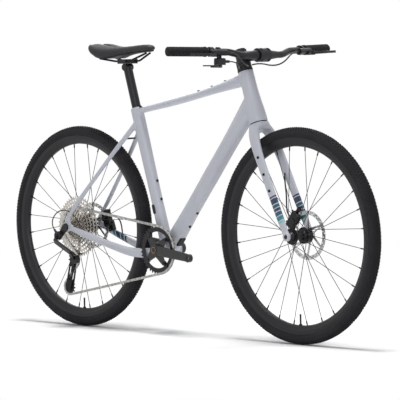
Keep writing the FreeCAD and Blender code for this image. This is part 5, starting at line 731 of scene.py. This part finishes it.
ROUTES = [
    HoseRun("hose_right_cockpit", "rear_brake_hose_front", Body.STEERING, (
        (0.3863, -0.1573, 0.944), (0.3921, -0.1279, 0.9433), (0.3862, -0.092, 0.9077),
        (0.3722, -0.055, 0.8977), (0.3311, -0.0347, 0.9096), (0.3128, -0.0173, 0.9034)), 0.1895, 0.005),
    HoseRun("hose_left_cockpit", "front_brake_hose", Body.STEERING, (
        (0.3863, 0.1573, 0.944), (0.3921, 0.1279, 0.9433), (0.3862, 0.092, 0.9077),
        (0.3722, 0.055, 0.8977), (0.3311, 0.0347, 0.9096), (0.3128, 0.0173, 0.9034)), 0.1895, 0.005),
    HoseRun("hose_fork_leg", "front_brake_hose", Body.STEERING, (
        (0.428, 0.0406, 0.55), (0.432, 0.0394, 0.519), (0.438, 0.039, 0.479), (0.437, 0.0392, 0.443),
        (0.44, 0.0395, 0.418), (0.4536, 0.0395, 0.4078)), 0.1489, 0.005),
    HoseRun("hose_chainstay", "rear_brake_hose", Body.FRAME, (
        (-0.388, 0.06, 0.327), (-0.389, 0.0585, 0.355), (-0.399, 0.0555, 0.378),
        (-0.4215, 0.052, 0.3901), (-0.4403, 0.052, 0.3833)), 0.0969, 0.005),
    HoseRun("housing_cockpit", "shift_cable_front", Body.STEERING, (
        (0.3742, -0.1464, 0.9158), (0.3796, -0.1189, 0.9152), (0.3562, -0.08, 0.8907),
        (0.3179, -0.0492, 0.8967), (0.3071, -0.0237, 0.8931)), 0.1531, 0.004),
    HoseRun("housing_derailleur", "shift_cable_rear", Body.FRAME, (
        (-0.462, -0.066, 0.349), (-0.479, -0.0635, 0.373), (-0.508, -0.063, 0.398),
        (-0.542, -0.069, 0.412), (-0.573, -0.079, 0.404), (-0.59, -0.087, 0.378),
        (-0.5877, -0.0892, 0.3527), (-0.5771, -0.0892, 0.3421)), 0.207, 0.004),
]


@dataclass(frozen=True)
class Softbox:
    """A square soft light: where it hangs, its side and its power in watts."""

    name: str
    place: tuple[float, float, float]
    size: float
    power: float


@dataclass
class Studio:
    """A pale floor, soft light and the photograph's camera."""

    azimuth: float = 46.455
    elevation: float = 3.0255
    distance: float = 8.8312
    target: tuple[float, float, float] = (0.0707, 0.0, 0.4560)
    roll: float = -1.228
    lens: float = 238.0
    sensor: float = 36.0
    floor_half: float = 14.0
    floor_tone: float = 0.9
    seen_tone: float = 1.1
    fade_start: float = 0.95
    fade_end: float = 1.7
    sky_colour: str = "#F6F7F9"
    sky_level: float = 0.3
    clip_end: float = 100.0
    floor_cuts: int = 3
    lamps: tuple[Softbox, ...] = (
        Softbox("overhead_softbox", (0.2, -0.2, 7.0), 1.8, 330.0),
        Softbox("camera_side_softbox", (3.6, -3.9, 2.3), 2.4, 52.0),
        Softbox("rear_softbox", (-2.8, 2.6, 2.6), 2.2, 24.0))

    def camera(self) -> None:
        """Stand the camera where the photograph was taken."""
        turn, rise, roll = (math.radians(value) for value in (self.azimuth, self.elevation, self.roll))
        back = Vector((math.sin(turn) * math.cos(rise), -math.cos(turn) * math.cos(rise), math.sin(rise)))
        right = Vector((0, 0, 1)).cross(back).normalized()
        upward = back.cross(right)
        across = right * math.cos(roll) + upward * math.sin(roll)
        above = upward * math.cos(roll) - right * math.sin(roll)
        data = bpy.data.cameras.new("photo_camera")
        data.lens = self.lens
        data.sensor_width = self.sensor
        data.clip_end = self.clip_end
        camera = bpy.data.objects.new("photo_camera", data)
        bpy.context.scene.collection.objects.link(camera)
        place = Vector(self.target) + back * self.distance
        camera.matrix_world = Matrix((
            (across.x, above.x, back.x, place.x), (across.y, above.y, back.y, place.y),
            (across.z, above.z, back.z, place.z), (0, 0, 0, 1)))
        bpy.context.scene.camera = camera

    def floor(self) -> None:
        """Lay a white floor that keeps the shadow and fades into the white background."""
        bpy.ops.object.select_all(action="DESELECT")
        bpy.ops.mesh.primitive_plane_add(size=self.floor_half * 2)
        floor = bpy.context.active_object
        floor.name = "studio_floor"
        bpy.ops.object.mode_set(mode="EDIT")
        bpy.ops.mesh.subdivide(number_cuts=self.floor_cuts)
        bpy.ops.object.mode_set(mode="OBJECT")
        material = bpy.data.materials.new("white_studio_floor")
        material.use_nodes = True
        tree = material.node_tree
        tree.nodes.clear()
        place = add_node(tree, "ShaderNodeTexCoord").outputs["Object"]
        reach = add_node(tree, "ShaderNodeVectorMath", {"operation": "LENGTH"}, {0: place})
        fade = add_node(tree, "ShaderNodeMapRange", {"interpolation_type": "SMOOTHSTEP"}, {
            "Value": reach.outputs["Value"], "From Min": self.fade_start, "From Max": self.fade_end})
        path = add_node(tree, "ShaderNodeLightPath")
        tone = add_node(tree, "ShaderNodeMapRange", inputs={
            "Value": path.outputs["Is Camera Ray"], "To Min": self.floor_tone, "To Max": self.seen_tone})
        matt = add_node(tree, "ShaderNodeBsdfDiffuse", inputs={"Color": tone.outputs["Result"]})
        glow = add_node(tree, "ShaderNodeEmission", inputs={"Strength": 1.0})
        mix = add_node(tree, "ShaderNodeMixShader", inputs={
            0: fade.outputs["Result"], 1: matt.outputs["BSDF"], 2: glow.outputs["Emission"]})
        add_node(tree, "ShaderNodeOutputMaterial", inputs={"Surface": mix.outputs["Shader"]})
        floor.data.materials.append(material)

    def hang(self, box: Softbox) -> None:
        """Hang a soft light that looks at the bicycle.

        Args:
            box: the light's place, size and power.
        """
        data = bpy.data.lights.new(box.name, "AREA")
        data.shape = "SQUARE"
        data.size = box.size
        data.energy = box.power
        lamp = bpy.data.objects.new(box.name, data)
        bpy.context.scene.collection.objects.link(lamp)
        way = Vector(self.target) - Vector(box.place)
        turn = way.to_track_quat("-Z", "Y").to_matrix().to_4x4()
        lamp.matrix_world = Matrix.Translation(box.place) @ turn

    def light(self) -> None:
        """Light the bicycle softly from above and from the camera's side."""
        world = bpy.data.worlds.new("white_studio")
        bpy.context.scene.world = world
        world.use_nodes = True
        tree = world.node_tree
        tree.nodes.clear()
        path = add_node(tree, "ShaderNodeLightPath")
        mirrored = add_node(tree, "ShaderNodeMath", {"operation": "ADD"}, {
            0: path.outputs["Is Glossy Ray"], 1: path.outputs["Is Transmission Ray"]})
        seen = add_node(tree, "ShaderNodeMath", {"operation": "ADD", "use_clamp": True}, {
            0: path.outputs["Is Camera Ray"], 1: mirrored.outputs[0]})
        soft = add_node(tree, "ShaderNodeBackground", inputs={
            "Color": linear_colour(self.sky_colour), "Strength": self.sky_level})
        white = add_node(tree, "ShaderNodeBackground", inputs={"Strength": 1.0, "Color": (1, 1, 1, 1)})
        mix = add_node(tree, "ShaderNodeMixShader", inputs={
            0: seen.outputs[0], 1: soft.outputs["Background"], 2: white.outputs["Background"]})
        add_node(tree, "ShaderNodeOutputWorld", inputs={"Surface": mix.outputs["Shader"]})
        for box in self.lamps:
            self.hang(box)

    def build(self) -> None:
        """Set up floor, light, camera and colour."""
        self.floor()
        self.light()
        self.camera()
        bpy.context.scene.view_settings.view_transform = "Standard"


def dress_cad_nodes(nodes: dict[str, bpy.types.Object]) -> None:
    """Give the CAD nodes that stay in view their finishes.

    Args:
        nodes: the CAD nodes by name.
    """
    for name, finish in NODE_FINISHES.items():
        node = nodes[name]
        if not node.material_slots:
            node.data.materials.append(finish.material())
        for slot in node.material_slots:
            slot.material = finish.material()
        LOG.info("node %s: %s", name, finish.name)


def main() -> None:
    """Build the bicycle's looks."""
    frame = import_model()
    nodes = frame["nodes"]
    dress_cad_nodes(nodes)
    Studio().build()
    for run in ROUTES:
        run.build()
    PaintedShell("frame", FRAME_PAINT, Body.FRAME).build(nodes)
    PaintedShell("fork", FORK_PAINT, Body.STEERING, voxel=0.0017).build(nodes)
    Tyre("front_tyre", FRONT_AXLE, Body.FRONT_WHEEL).build()
    Tyre("rear_tyre", REAR_AXLE, Body.REAR_WHEEL).build()
    for side in Side:
        Grip(side).build()
    SaddleSkin().build(nodes)
    CrankTrim().build()
    bpy.ops.object.select_all(action="DESELECT")


if __name__ == "__main__":
    main()
